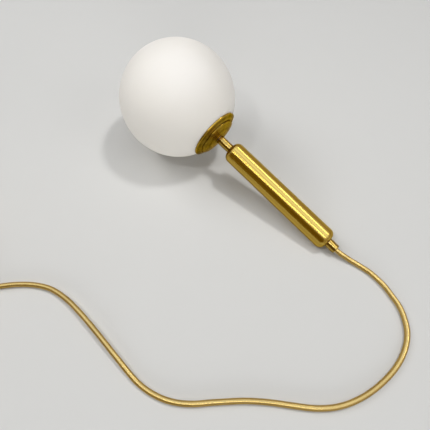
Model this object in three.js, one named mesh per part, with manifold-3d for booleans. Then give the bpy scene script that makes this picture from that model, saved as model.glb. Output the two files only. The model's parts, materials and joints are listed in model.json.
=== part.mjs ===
// Globe pendant light, laid down on a surface with its cord and its ceiling rose.
// Millimetres, +Z up. The lamp rests on its globe and on the far shoulder of its tube.
import * as THREE from 'three';
import { mergeVertices } from 'three/addons/utils/BufferGeometryUtils.js';
import Module from 'manifold-3d';

const wasm = await Module();
wasm.setup();

// Clearances and fits
const SEAT_GAP = 0.3;
const ROD_PLAY = 0.3;
const THREAD_PLAY = 0.5;
const SCREW_PLAY = 0.3;
const CUT_OVERRUN = 1;

// Globe
const GLOBE_RADIUS = 75;
const GLASS_WALL = 2.2;
const NECK_BORE_RADIUS = 22;
const NECK_DEPTH = 9;

// Seal between the glass lip and the plate
const GASKET_THICKNESS = 1;
const GASKET_WIDTH = 2.6;

// Gallery plate, a dished disc that follows the globe
const PLATE_RADIUS = 34.5;
const PLATE_THICKNESS = 2;
const PLATE_WEB = 1.6;

// Shallow domed cap on the plate
const CAP_RADIUS = 26.6;
const CAP_RIM_HEIGHT = 1;
const CAP_RISE = 4.1;
const CAP_WALL = 0.8;
const CAP_LAND_RADIUS = 6.8;

// Collar that the glass neck screws onto
const COLLAR_WALL = 2;
const COLLAR_WEB = 1.6;
const COLLAR_DEPTH = 11;

// Hollow rod that clamps the stack
const ROD_RADIUS = 5;
const ROD_BORE_RADIUS = 3.8;
const ROD_TAIL = 1.4;
const ROD_ENGAGEMENT = 6;

// Stem, tube and gland
const STEM_RADIUS = 5.75;
const STEM_LENGTH = 19.2;
const BODY_RADIUS = 14;
const BODY_LENGTH = 168;
const BODY_WALL = 1.2;
const BODY_END_WALL = 2;
const SHOULDER_RADIUS = 8;
const GLAND_RADIUS = 5.9;
const GLAND_LENGTH = 13;
const GLAND_MOUTH_LENGTH = 2;
const GLAND_EDGE_RADIUS = 0.8;
const SLEEVE_WALL = 1;
const SET_SCREW_RADIUS = 1.5;
const SET_SCREW_SOCKET_DEPTH = 0.8;

// Nuts and washers on the rod
const NUT_ACROSS_FLATS = 14;
const NUT_HEIGHT = 3;
const LOCK_WASHER_RADIUS = 9;
const LOCK_WASHER_THICKNESS = 0.8;
const LOCK_WASHER_TEETH = 12;
const LOCK_WASHER_TOOTH_DEPTH = 1.2;
const EARTH_TAG_THICKNESS = 0.8;
const EARTH_TAG_WIDTH = 4;
const EARTH_TAG_REACH = 12;

// Lampholder and its bracket
const HOLDER_LENGTH = 21.6;
const HOLDER_WIDTH = 13;
const HOLDER_HEIGHT = 16;
const HOLDER_CORNER = 4;
const HOLDER_DROP = 5.36;
const RECESS_LENGTH = 16.6;
const RECESS_WIDTH = 6.6;
const RECESS_DEPTH = 4;
const RECESS_CORNER = 1.5;
const PIN_SPACING = 9;
const PIN_CAVITY_LENGTH = 2.6;
const PIN_CAVITY_WIDTH = 4.4;
const PIN_CAVITY_DEPTH = 9.8;
const CORE_HOLE_RADIUS = 1.3;
const BRACKET_THICKNESS = 1.2;
const BRACKET_WIDTH = 14;
const BRACKET_BEND = 2;
const BRACKET_LEG = 21.4;
const BRACKET_SCREW_RADIUS = 1.4;
const BRACKET_SCREW_LENGTH = 5.2;
const BRACKET_SCREW_HEAD_RADIUS = 2.8;
const BRACKET_SCREW_HEAD_HEIGHT = 1.8;
const BRACKET_SCREW_RISE = 9.4;
const CLIP_THICKNESS = 0.35;
const CLIP_LENGTH = 1.9;
const CLIP_WIDTH = 3.4;
const CLIP_HEIGHT = 8.6;

// Cord and its cores
const CORD_DIAMETER = 6.2;
const CORE_RADIUS = 0.8;
const CORE_PITCH_RADIUS = 1.5;
const CORE_SPREAD = 1.9;
const JACKET_STRIP = 16.7;

// Bulb
const BULB_RADIUS = 8;
const BULB_COVER_LENGTH = 36;
const BULB_COVER_WALL = 0.8;
const BULB_BASE_HEIGHT = 7.7;
const BULB_BLADE_LENGTH = 15.8;
const BULB_BLADE_WIDTH = 5.8;
const BULB_SPIGOT_HEIGHT = 3;
const PIN_WIRE_RADIUS = 0.4;
const PIN_LOOP_WIDTH = 2.2;
const PIN_LENGTH = 6.6;
const BOARD_WIDTH = 8.4;
const BOARD_THICKNESS = 1;
const BOARD_LENGTH = 25;
const CHIP_SIZE = 2.4;
const CHIP_HEIGHT = 0.7;
const CHIPS_PER_SIDE = 6;
const CHIP_PITCH = 3.8;

// Cord coil, two layers of spiral
const COIL_OUTER_RADIUS = 38.5;
const COIL_PITCH = 6.9;
const COIL_LAYER_RISE = 6.8;
const COIL_BOTTOM = 1.1;
const COIL_START_DEGREES = 140.6;
const COIL_SWEEP_DEGREES = 1029.4;
const COIL_STEPS_PER_TURN = 24;
const CORD_JOINT_GAP = 0.3;
const TIE_THICKNESS = 0.6;
const TIE_WIDTH = 7;
const TIE_PLAY = 0.35;
const TIE_DEGREES = 250;

// Ceiling rose
const ROSE_RADIUS = 50;
const ROSE_HEIGHT = 24;
const ROSE_WALL = 1;
const ROSE_EDGE_RADIUS = 5;
const STRAP_LENGTH = 80;
const STRAP_WIDTH = 18;
const STRAP_THICKNESS = 2;
const STRAP_CENTRE_HOLE_RADIUS = 6.5;
const STRAP_SLOT_OFFSET = 20;
const STRAP_SLOT_LENGTH = 10;
const STRAP_SLOT_WIDTH = 5.2;
const STRAP_TAB_LENGTH = 40;
const STRAP_TAB_REACH = 17;
const STUD_RADIUS = 1.9;
const STUD_SPACING = 66;
const STUD_PROJECTION = 4;
const CAP_NUT_RADIUS = 4.5;
const CAP_NUT_SKIRT = 2;
const CAP_NUT_HEIGHT = 7;
const CAP_NUT_BORE_DEPTH = 4.8;
const NIPPLE_LENGTH = 13;
const NIPPLE_ENGAGEMENT = 6;
const NIPPLE_NUT_HEIGHT = 2.6;
const BLOCK_LENGTH = 24;
const BLOCK_LUG = 7;
const BLOCK_WIDTH = 12;
const BLOCK_HEIGHT = 10;
const BLOCK_TOWER_RADIUS = 3.2;
const BLOCK_TOWER_HEIGHT = 3;
const BLOCK_WAYS = 3;
const BLOCK_PITCH = 8;
const BLOCK_BORE_RADIUS = 1.5;
const SMALL_SCREW_RADIUS = 1.5;
const SMALL_SCREW_HEAD_RADIUS = 2.9;
const SMALL_SCREW_HEAD_HEIGHT = 1.8;
const SMALL_SCREW_SLOT = 0.7;
const EARTH_SCREW_OFFSET = 12;

// Sides of the round pieces
const GLOBE_SIDES = 48;
const DISC_SIDES = 40;
const TUBE_SIDES = 32;
const SMALL_SIDES = 20;
const FINE_SIDES = 12;
const CORD_SIDES = 8;
const COIL_SIDES = 6;

// Route of the cord on the surface from the gland to its coil: x, y and height of its centre
const RUN_ROUTE = [
  [182.0, 0.6, 6.9], [192.0, 2.6, 4.6], [205.6, 5.0, 3.2], [217.5, 6.2, 3.2], [229.2, 5.4, 3.2],
  [241.5, 3.2, 3.2], [252.9, -0.8, 3.2], [264.0, -5.0, 3.2], [274.0, -11.2, 3.2], [288.2, -25.8, 3.2],
  [296.0, -44.0, 3.2], [298.8, -67.1, 3.2], [295.6, -94.5, 3.2], [288.0, -119.6, 3.2], [275.9, -141.5, 3.2],
  [260.0, -158.6, 3.2], [240.5, -173.4, 3.2], [222.3, -186.7, 3.2], [203.1, -202.9, 3.2],
  [181.4, -225.2, 3.2], [165.2, -242.6, 3.2], [152.0, -253.2, 3.2], [138.5, -260.4, 3.2],
  [123.2, -265.3, 3.2], [108.4, -267.4, 3.5], [92.8, -267.2, 4.5], [73.8, -266.2, 5.8], [46.6, -264.6, 7.0],
  [23.6, -263.6, 7.2], [2.8, -263.3, 6.6], [-14.7, -264.0, 5.6], [-30.4, -266.3, 4.6], [-43.0, -269.8, 3.8],
  [-54.4, -275.6, 3.3], [-67.2, -285.0, 3.2], [-79.0, -296.6, 3.2], [-92.0, -312.4, 3.2],
  [-107.6, -331.0, 3.4], [-121.2, -347.2, 4.1],
];

// Route of the cord from its coil up to the axis of the rose
const TAIL_ROUTE = [
  [-98.2, -340.5, 11.0], [-103.0, -340.5, 11.3], [-108.4, -340.5, 12.4], [-113.2, -340.5, 14.1],
  [-117.9, -340.5, 16.4], [-122.2, -340.5, 19.3], [-126.2, -340.5, 22.9], [-129.4, -340.5, 26.6],
  [-132.2, -340.5, 30.5], [-135.0, -340.5, 34.6], [-138.3, -340.5, 38.3], [-142.1, -340.5, 41.8],
  [-146.5, -340.5, 44.7], [-151.2, -340.5, 47.0], [-156.1, -340.5, 48.7], [-161.2, -340.5, 49.7],
  [-166.6, -340.5, 50.0], [-180.0, -340.5, 50.0], [-193.0, -340.5, 50.0], [-206.0, -340.5, 50.0],
  [-219.4, -340.5, 50.0],
];

// Centre of the coil, and the place of the rose with its cup's side on the surface
const COIL_CENTRE = [-97.7, -379];
const ROSE_PLACE = [-231.4, -340.5];

// Finishes
const finish = (name, color, roughness, metalness, opacity = 1) => {
  const material = new THREE.MeshStandardMaterial({ color, roughness, metalness });
  material.name = name;
  material.opacity = opacity;
  material.transparent = opacity < 1;
  return material;
};
const opalGlass = finish('opal_glass', 0xf1ede4, 0.35, 0);
const satinBrass = finish('satin_brass', 0xb8923a, 0.32, 1);
const polishedBrass = finish('polished_brass', 0xc29a4a, 0.15, 1);
const plainBrass = finish('plain_brass', 0xb5954f, 0.4, 1);
const zincSteel = finish('zinc_steel', 0xb9bcbf, 0.4, 1);
const goldTextile = finish('gold_textile', 0xb9975a, 0.6, 0);
const clearSilicone = finish('silicone', 0xd9d9d4, 0.5, 0);
const whiteNylon = finish('white_nylon', 0xe6e4dc, 0.5, 0);
const ceramic = finish('ceramic', 0xefece4, 0.45, 0);
const springBronze = finish('spring_bronze', 0xb07a45, 0.35, 1);
const frostedCover = finish('frosted_cover', 0xf4f2ea, 0.5, 0);
const boardWhite = finish('board_white', 0xe9ead9, 0.5, 0);
const brownCore = finish('brown_core', 0x5d3a22, 0.5, 0);
const blueCore = finish('blue_core', 0x2c5a9c, 0.5, 0);
const greenCore = finish('green_yellow_core', 0x7fa83a, 0.5, 0);

// Working with closed solids

/** Merges equal vertices, drops empty triangles and turns the faces outward. */
function weld(geometry) {
  const bare = new THREE.BufferGeometry();
  bare.setAttribute('position', geometry.attributes.position.clone());
  bare.setIndex(geometry.index ? Array.from(geometry.index.array) : null);
  const merged = mergeVertices(bare, MERGE_DISTANCE);
  const from = merged.index.array;
  const kept = [];
  for (let i = 0; i < from.length; i += 3) {
    const [a, b, c] = [from[i], from[i + 1], from[i + 2]];
    if (a !== b && b !== c && c !== a) kept.push(a, b, c);
  }
  if (signedVolume(merged.attributes.position, kept) < 0) {
    for (let i = 0; i < kept.length; i += 3) [kept[i], kept[i + 1]] = [kept[i + 1], kept[i]];
  }
  merged.setIndex(kept);
  return merged;
}

const MERGE_DISTANCE = 1e-4;

function signedVolume(position, index) {
  const [a, b, c] = [new THREE.Vector3(), new THREE.Vector3(), new THREE.Vector3()];
  let sum = 0;
  for (let i = 0; i < index.length; i += 3) {
    a.fromBufferAttribute(position, index[i]);
    b.fromBufferAttribute(position, index[i + 1]);
    c.fromBufferAttribute(position, index[i + 2]);
    sum += a.dot(b.cross(c));
  }
  return sum / 6;
}

function toManifold(geometry) {
  const welded = weld(geometry);
  const mesh = new wasm.Mesh({
    numProp: 3,
    vertProperties: new Float32Array(welded.attributes.position.array),
    triVerts: new Uint32Array(welded.index.array),
  });
  return new wasm.Manifold(mesh);
}

function toGeometry(solid) {
  const mesh = solid.getMesh();
  const geometry = new THREE.BufferGeometry();
  geometry.setAttribute('position', new THREE.BufferAttribute(new Float32Array(mesh.vertProperties), 3));
  geometry.setIndex(Array.from(mesh.triVerts));
  return geometry;
}

/** The first solid without the others. */
function cut(geometry, ...tools) {
  let solid = toManifold(geometry);
  for (const tool of tools) solid = solid.subtract(toManifold(tool));
  return toGeometry(solid);
}

/** All the solids as one. */
function join(geometry, ...others) {
  let solid = toManifold(geometry);
  for (const other of others) solid = solid.add(toManifold(other));
  return toGeometry(solid);
}

// Shapes, each about the Z axis

/** A profile of [radius, height] pairs turned about Z. A ring's profile closes on its first point. */
function revolve(profile, sides = SMALL_SIDES) {
  const points = profile.map(([r, z]) => new THREE.Vector2(r, z));
  return weld(new THREE.LatheGeometry(points, sides).rotateX(Math.PI / 2));
}

/** Points of an arc in a profile, angles in radians from the radius toward the height. */
function arc(centreR, centreZ, radius, from, to, steps) {
  const points = [];
  for (let i = 0; i <= steps; i += 1) {
    const angle = from + ((to - from) * i) / steps;
    points.push([centreR + radius * Math.cos(angle), centreZ + radius * Math.sin(angle)]);
  }
  return points;
}

const closed = (profile) => [...profile, profile[0]];

/** A straight tube wall between two heights. */
function pipe(outer, inner, bottom, top, sides = SMALL_SIDES) {
  return revolve(closed([[inner, bottom], [outer, bottom], [outer, top], [inner, top]]), sides);
}

function rod(radius, bottom, top, sides = SMALL_SIDES) {
  return revolve([[0, bottom], [radius, bottom], [radius, top], [0, top]], sides);
}

/** A flat outline raised from one height to another. */
function prism(shape, bottom, top, curveSegments = 6) {
  const options = { depth: top - bottom, bevelEnabled: false, curveSegments };
  return weld(new THREE.ExtrudeGeometry(shape, options).translate(0, 0, bottom));
}

function roundedRectangle(length, width, corner) {
  const [x, y] = [length / 2, width / 2];
  const shape = new THREE.Shape();
  shape.moveTo(corner - x, -y);
  shape.lineTo(x - corner, -y);
  shape.absarc(x - corner, corner - y, corner, -Math.PI / 2, 0);
  shape.lineTo(x, y - corner);
  shape.absarc(x - corner, y - corner, corner, 0, Math.PI / 2);
  shape.lineTo(corner - x, y);
  shape.absarc(corner - x, y - corner, corner, Math.PI / 2, Math.PI);
  shape.lineTo(-x, corner - y);
  shape.absarc(corner - x, corner - y, corner, Math.PI, Math.PI * 1.5);
  return shape;
}

function polygon(radius, sides, turn = 0) {
  const shape = new THREE.Shape();
  for (let i = 0; i < sides; i += 1) {
    const angle = turn + (2 * Math.PI * i) / sides;
    const point = [radius * Math.cos(angle), radius * Math.sin(angle)];
    if (i === 0) shape.moveTo(...point);
    else shape.lineTo(...point);
  }
  shape.closePath();
  return shape;
}

function block(length, width, bottom, top) {
  const shape = new THREE.BoxGeometry(length, width, top - bottom);
  return weld(shape.translate(0, 0, (top + bottom) / 2));
}

/** A round bar along a curve, with flat ends. */
function bar(curve, radius, steps, sides) {
  const options = { steps, extrudePath: curve, bevelEnabled: false, curveSegments: sides };
  return weld(new THREE.ExtrudeGeometry(polygon(radius, sides), options));
}

function through(points) {
  return new THREE.CatmullRomCurve3(points.map((p) => new THREE.Vector3(...p)), false, 'centripetal');
}

function named(name, geometry, material) {
  const mesh = new THREE.Mesh(geometry, material);
  mesh.name = name;
  return mesh;
}

// Heights along the lamp's axis, from the globe's centre
const lipAngle = Math.asin((NECK_BORE_RADIUS + GLASS_WALL) / (GLOBE_RADIUS - GLASS_WALL));
const lipRadius = (GLOBE_RADIUS - GLASS_WALL) * Math.sin(lipAngle);
const lipCentre = (GLOBE_RADIUS - GLASS_WALL) * Math.cos(lipAngle);
const lipTop = lipCentre + GLASS_WALL;
const gasketBottom = lipTop + SEAT_GAP;
const gasketTop = gasketBottom + GASKET_THICKNESS;
const webBottom = gasketTop + SEAT_GAP;
const webTop = webBottom + PLATE_WEB;
const plateInner = GLOBE_RADIUS + SEAT_GAP;
const plateOuter = plateInner + PLATE_THICKNESS;
const sphereHeight = (sphere, radius) => Math.sqrt(sphere * sphere - radius * radius);
const capRimBottom = sphereHeight(plateOuter, CAP_RADIUS) + SEAT_GAP;
const capRimTop = capRimBottom + CAP_RIM_HEIGHT;
const capCurve = (CAP_RADIUS ** 2 + CAP_RISE ** 2) / (2 * CAP_RISE);
const capCentre = capRimTop + CAP_RISE - capCurve;
const capLand = capCentre + sphereHeight(capCurve, CAP_LAND_RADIUS);
const stemBottom = capLand + SEAT_GAP;
const stemTop = stemBottom + STEM_LENGTH;
const bodyBottom = stemTop + SEAT_GAP;
const bodyTop = bodyBottom + BODY_LENGTH;
const glandBottom = bodyTop + SEAT_GAP;
const glandTop = glandBottom + GLAND_LENGTH;
const rodTop = glandBottom + ROD_ENGAGEMENT;
const collarTop = webBottom - SEAT_GAP;
const collarWebBottom = collarTop - COLLAR_WEB;
const washerTop = collarWebBottom - SEAT_GAP;
const washerBottom = washerTop - LOCK_WASHER_THICKNESS;
const collarNutTop = washerBottom - SEAT_GAP;
const collarNutBottom = collarNutTop - NUT_HEIGHT;
const bracketTop = collarNutBottom - SEAT_GAP;
const bracketBottom = bracketTop - BRACKET_THICKNESS;
const tagTop = bracketBottom - SEAT_GAP;
const tagBottom = tagTop - EARTH_TAG_THICKNESS;
const bracketNutTop = tagBottom - SEAT_GAP;
const bracketNutBottom = bracketNutTop - NUT_HEIGHT;
const rodBottom = bracketNutBottom - ROD_TAIL;
const holderTop = bracketNutBottom - HOLDER_DROP;
const holderBottom = holderTop - HOLDER_HEIGHT;
const recessTop = holderBottom + RECESS_DEPTH;
const cavityTop = recessTop + PIN_CAVITY_DEPTH;
const cordRadius = CORD_DIAMETER / 2;
const cordBoreRadius = cordRadius + SCREW_PLAY;
const jacketEnd = rodBottom + JACKET_STRIP;
const pinOffset = PIN_SPACING / 2;

// Glass and its seat

function glassGlobe() {
  const inside = GLOBE_RADIUS - GLASS_WALL;
  const lip = Math.PI / 2 - lipAngle;
  const profile = [
    ...arc(0, 0, GLOBE_RADIUS, -Math.PI / 2, lip, 17),
    ...arc(lipRadius, lipCentre, GLASS_WALL, lip, Math.PI, 3).slice(1),
    [NECK_BORE_RADIUS, lipCentre - NECK_DEPTH],
    [lipRadius, lipCentre - NECK_DEPTH],
    ...arc(0, 0, inside, lip, -Math.PI / 2, 10),
  ];
  profile[0][0] = 0;
  profile[profile.length - 1][0] = 0;
  return named('glass_globe', revolve(profile, GLOBE_SIDES), opalGlass);
}

function globeGasket() {
  const inner = NECK_BORE_RADIUS + SEAT_GAP;
  const outer = inner + GASKET_WIDTH;
  return named('globe_gasket', pipe(outer, inner, gasketBottom, gasketTop, TUBE_SIDES), clearSilicone);
}

function galleryPlate() {
  const gasketRoom = NECK_BORE_RADIUS + SEAT_GAP + GASKET_WIDTH + SEAT_GAP;
  const rimAngle = Math.acos(PLATE_RADIUS / plateInner);
  const roomAngle = Math.acos(gasketRoom / plateInner);
  const rimTopAngle = Math.acos(PLATE_RADIUS / plateOuter);
  const webAngle = Math.asin(webTop / plateOuter);
  const hole = ROD_RADIUS + ROD_PLAY;
  const rimRounding = PLATE_THICKNESS / 4;
  const rim = [
    [PLATE_RADIUS - rimRounding, plateOuter * Math.sin(rimTopAngle) + rimRounding / 4],
    [PLATE_RADIUS, plateOuter * Math.sin(rimTopAngle) - rimRounding],
    [PLATE_RADIUS, plateInner * Math.sin(rimAngle) + rimRounding / 2],
  ];
  const profile = [
    [hole, webBottom],
    [hole, webTop],
    ...arc(0, 0, plateOuter, webAngle, rimTopAngle + 0.02, 4),
    ...rim,
    ...arc(0, 0, plateInner, rimAngle + 0.01, roomAngle, 3),
    [gasketRoom, webBottom],
  ];
  return named('gallery_plate', revolve(closed(profile), DISC_SIDES), satinBrass);
}

function capDome() {
  const under = capCurve - CAP_WALL;
  const rim = CAP_RADIUS - CAP_WALL;
  const hole = ROD_RADIUS + ROD_PLAY;
  const edge = Math.acos(CAP_RADIUS / capCurve);
  const land = Math.acos(CAP_LAND_RADIUS / capCurve);
  const underEdge = Math.acos(rim / under);
  const underLand = Math.acos(CAP_LAND_RADIUS / under);
  const profile = [
    [rim, capRimBottom],
    [CAP_RADIUS, capRimBottom],
    ...arc(0, capCentre, capCurve, edge, land, 5),
    [hole, capLand],
    [hole, capCentre + under * Math.sin(underLand)],
    ...arc(0, capCentre, under, underLand, underEdge, 3),
  ];
  return named('cap_dome', revolve(closed(profile), DISC_SIDES), satinBrass);
}

function threadCollar() {
  const outer = NECK_BORE_RADIUS - THREAD_PLAY;
  const inner = outer - COLLAR_WALL;
  const hole = ROD_RADIUS + ROD_PLAY;
  const bottom = collarTop - COLLAR_DEPTH;
  const profile = [
    [hole, collarTop],
    [hole, collarWebBottom],
    [inner, collarWebBottom],
    [inner, bottom],
    [outer, bottom],
    [outer, collarTop],
  ];
  return named('thread_collar', revolve(closed(profile), TUBE_SIDES), plainBrass);
}

// Rod, nuts and washers

function threadedRod() {
  return named('threaded_rod', pipe(ROD_RADIUS, ROD_BORE_RADIUS, rodBottom, rodTop), zincSteel);
}

/** A hexagon nut with chamfered corners, from a height up. */
function hexNut(name, acrossFlats, height, bottom, hole) {
  const corner = acrossFlats / 2 / Math.cos(Math.PI / 6);
  const top = bottom + height;
  const chamfer = corner - acrossFlats / 2;
  const blank = prism(polygon(corner, 6), bottom, top);
  const turned = revolve([
    [0, bottom], [corner - chamfer, bottom], [corner, bottom + chamfer / 2],
    [corner, top - chamfer / 2], [corner - chamfer, top], [0, top],
  ], SMALL_SIDES);
  const solid = toManifold(blank).intersect(toManifold(turned));
  const bored = solid.subtract(toManifold(rod(hole, bottom - CUT_OVERRUN, top + CUT_OVERRUN)));
  return named(name, toGeometry(bored), zincSteel);
}

function lockWasher() {
  const shape = new THREE.Shape();
  const root = LOCK_WASHER_RADIUS - LOCK_WASHER_TOOTH_DEPTH;
  for (let i = 0; i < LOCK_WASHER_TEETH; i += 1) {
    const start = (2 * Math.PI * i) / LOCK_WASHER_TEETH;
    const half = Math.PI / LOCK_WASHER_TEETH;
    const corners = [[root, start], [LOCK_WASHER_RADIUS, start], [LOCK_WASHER_RADIUS, start + half], [root, start + half]];
    corners.forEach(([radius, angle], place) => {
      const point = [radius * Math.cos(angle), radius * Math.sin(angle)];
      if (i === 0 && place === 0) shape.moveTo(...point);
      else shape.lineTo(...point);
    });
  }
  shape.closePath();
  const hole = rod(ROD_RADIUS + ROD_PLAY, washerBottom - CUT_OVERRUN, washerTop + CUT_OVERRUN);
  return named('lock_washer', cut(prism(shape, washerBottom, washerTop), hole), zincSteel);
}

function earthTag() {
  const ring = rod(NUT_ACROSS_FLATS / 2, tagBottom, tagTop);
  const tab = block(EARTH_TAG_REACH, EARTH_TAG_WIDTH, tagBottom, tagTop);
  tab.rotateZ(Math.PI / 2).translate(0, EARTH_TAG_REACH / 2, 0);
  const hole = rod(ROD_RADIUS + ROD_PLAY, tagBottom - CUT_OVERRUN, tagTop + CUT_OVERRUN);
  return named('earth_tag', cut(join(ring, tab), hole), plainBrass);
}

// Stem, tube and gland

function stemTube() {
  return named('stem_tube', pipe(STEM_RADIUS, ROD_RADIUS + ROD_PLAY, stemBottom, stemTop, TUBE_SIDES), polishedBrass);
}

function bodyTube() {
  const hole = ROD_RADIUS + ROD_PLAY;
  const inside = BODY_RADIUS - BODY_WALL;
  const round = SHOULDER_RADIUS;
  const innerRound = round - BODY_END_WALL;
  const quarter = Math.PI / 2;
  const profile = [
    [hole, bodyBottom],
    ...arc(BODY_RADIUS - round, bodyBottom + round, round, -quarter, 0, 6),
    ...arc(BODY_RADIUS - round, bodyTop - round, round, 0, quarter, 6),
    [hole, bodyTop],
    [hole, bodyTop - BODY_END_WALL],
    ...arc(inside - innerRound, bodyTop - BODY_END_WALL - innerRound, innerRound, quarter, 0, 3),
    ...arc(inside - innerRound, bodyBottom + BODY_END_WALL + innerRound, innerRound, 0, -quarter, 3),
    [hole, bodyBottom + BODY_END_WALL],
  ];
  return named('body_tube', revolve(closed(profile), TUBE_SIDES), satinBrass);
}

/** A round cord grip: it screws on a rod below and clamps the cord above. */
function gripProfile(bottom) {
  const top = bottom + GLAND_LENGTH;
  const rodRoom = ROD_RADIUS + ROD_PLAY;
  const liner = cordBoreRadius + SLEEVE_WALL + SEAT_GAP;
  const step = bottom + ROD_ENGAGEMENT + SEAT_GAP;
  return closed([
    [rodRoom, bottom],
    [GLAND_RADIUS, bottom],
    ...arc(GLAND_RADIUS - GLAND_EDGE_RADIUS, top - GLAND_EDGE_RADIUS, GLAND_EDGE_RADIUS, 0, Math.PI / 2, 2),
    [cordBoreRadius, top],
    [cordBoreRadius, top - GLAND_MOUTH_LENGTH],
    [liner, top - GLAND_MOUTH_LENGTH],
    [liner, step],
    [rodRoom, step],
  ]);
}

/** Height of the set screw in a grip. */
const gripScrewHeight = (bottom) => {
  const linerBottom = bottom + ROD_ENGAGEMENT + SEAT_GAP;
  const linerTop = bottom + GLAND_LENGTH - GLAND_MOUTH_LENGTH;
  return (linerBottom + linerTop) / 2;
};

function sideways(radius, from, to, height, sides = FINE_SIDES) {
  return rod(radius, from, to, sides).rotateX(-Math.PI / 2).translate(0, 0, height);
}

function cordGrip(name, bottom, material) {
  const height = gripScrewHeight(bottom);
  const hole = sideways(SET_SCREW_RADIUS + SCREW_PLAY, cordRadius, GLAND_RADIUS + CUT_OVERRUN, height);
  return named(name, cut(revolve(gripProfile(bottom), SMALL_SIDES), hole), material);
}

function gripLiner(name, bottom) {
  const outer = cordBoreRadius + SLEEVE_WALL;
  const low = bottom + ROD_ENGAGEMENT + 2 * SEAT_GAP;
  const high = bottom + GLAND_LENGTH - GLAND_MOUTH_LENGTH - SEAT_GAP;
  return named(name, pipe(outer, cordBoreRadius, low, high), whiteNylon);
}

function gripScrew(name, bottom) {
  const height = gripScrewHeight(bottom);
  const inner = cordBoreRadius + SLEEVE_WALL + SEAT_GAP / 2;
  const outer = GLAND_RADIUS;
  const socket = polygon(SET_SCREW_RADIUS / 2, 6);
  const key = prism(socket, outer - SET_SCREW_SOCKET_DEPTH, outer + CUT_OVERRUN)
    .rotateX(-Math.PI / 2)
    .translate(0, 0, height);
  return named(name, cut(sideways(SET_SCREW_RADIUS, inner, outer, height), key), zincSteel);
}

// Lampholder

function holderBracket() {
  const half = HOLDER_LENGTH / 2 + SEAT_GAP;
  const outer = half + BRACKET_THICKNESS;
  const foot = bracketTop - BRACKET_LEG;
  const shape = new THREE.Shape();
  shape.moveTo(-outer, foot);
  shape.lineTo(-outer, bracketTop - BRACKET_BEND);
  shape.absarc(BRACKET_BEND - outer, bracketTop - BRACKET_BEND, BRACKET_BEND, Math.PI, Math.PI / 2, true);
  shape.lineTo(outer - BRACKET_BEND, bracketTop);
  shape.absarc(outer - BRACKET_BEND, bracketTop - BRACKET_BEND, BRACKET_BEND, Math.PI / 2, 0, true);
  shape.lineTo(outer, foot);
  shape.lineTo(half, foot);
  const inner = BRACKET_BEND - BRACKET_THICKNESS;
  shape.absarc(half - inner, bracketBottom - inner, inner, 0, Math.PI / 2);
  shape.absarc(inner - half, bracketBottom - inner, inner, Math.PI / 2, Math.PI);
  shape.lineTo(-half, foot);
  shape.closePath();
  const strap = prism(shape, -BRACKET_WIDTH / 2, BRACKET_WIDTH / 2, 4).rotateX(Math.PI / 2);
  const rodHole = rod(ROD_RADIUS + ROD_PLAY, tagTop, collarNutBottom);
  const holes = rod(BRACKET_SCREW_RADIUS + SCREW_PLAY, -outer - CUT_OVERRUN, outer + CUT_OVERRUN, FINE_SIDES)
    .rotateY(Math.PI / 2)
    .translate(0, 0, holderBottom + BRACKET_SCREW_RISE);
  return named('holder_bracket', cut(strap, rodHole, holes), zincSteel);
}

function lampholder() {
  const body = prism(roundedRectangle(HOLDER_LENGTH, HOLDER_WIDTH, HOLDER_CORNER), holderBottom, holderTop, 5);
  const recess = prism(roundedRectangle(RECESS_LENGTH, RECESS_WIDTH, RECESS_CORNER), holderBottom - CUT_OVERRUN, recessTop, 3);
  const tools = [recess];
  const screwDepth = HOLDER_LENGTH / 2 + SEAT_GAP + BRACKET_THICKNESS + SEAT_GAP - BRACKET_SCREW_LENGTH;
  for (const side of [-1, 1]) {
    const cavity = block(PIN_CAVITY_LENGTH, PIN_CAVITY_WIDTH, recessTop - CUT_OVERRUN, cavityTop);
    tools.push(cavity.translate(side * pinOffset, 0, 0));
    tools.push(rod(CORE_HOLE_RADIUS, holderBottom, holderTop + CUT_OVERRUN, FINE_SIDES).translate(side * pinOffset, 0, 0));
    const screwHole = rod(BRACKET_SCREW_RADIUS + SCREW_PLAY, screwDepth - SEAT_GAP, HOLDER_LENGTH, FINE_SIDES)
      .rotateY((side * Math.PI) / 2)
      .translate(0, 0, holderBottom + BRACKET_SCREW_RISE);
    tools.push(screwHole);
  }
  return named('lampholder', cut(body, ...tools), ceramic);
}

/** A pan-head screw along +Z: its head rests on a face at a height, its shank goes down. */
function panScrew(face, length, radius, headRadius, headHeight) {
  const crown = headHeight / 3;
  const screw = revolve([
    [0, face - length],
    [radius, face - length],
    [radius, face],
    [headRadius, face],
    [headRadius, face + headHeight - crown],
    [headRadius - crown, face + headHeight],
    [0, face + headHeight],
  ], FINE_SIDES);
  const top = face + headHeight;
  const slot = block(2 * headRadius + CUT_OVERRUN, SMALL_SCREW_SLOT, top - headHeight / 2, top + CUT_OVERRUN);
  return cut(screw, slot);
}

function bracketScrew(name, side) {
  const face = HOLDER_LENGTH / 2 + SEAT_GAP + BRACKET_THICKNESS + SEAT_GAP;
  const screw = panScrew(face, BRACKET_SCREW_LENGTH, BRACKET_SCREW_RADIUS, BRACKET_SCREW_HEAD_RADIUS, BRACKET_SCREW_HEAD_HEIGHT);
  screw.rotateY((side * Math.PI) / 2).translate(0, 0, holderBottom + BRACKET_SCREW_RISE);
  return named(name, screw, zincSteel);
}

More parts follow.
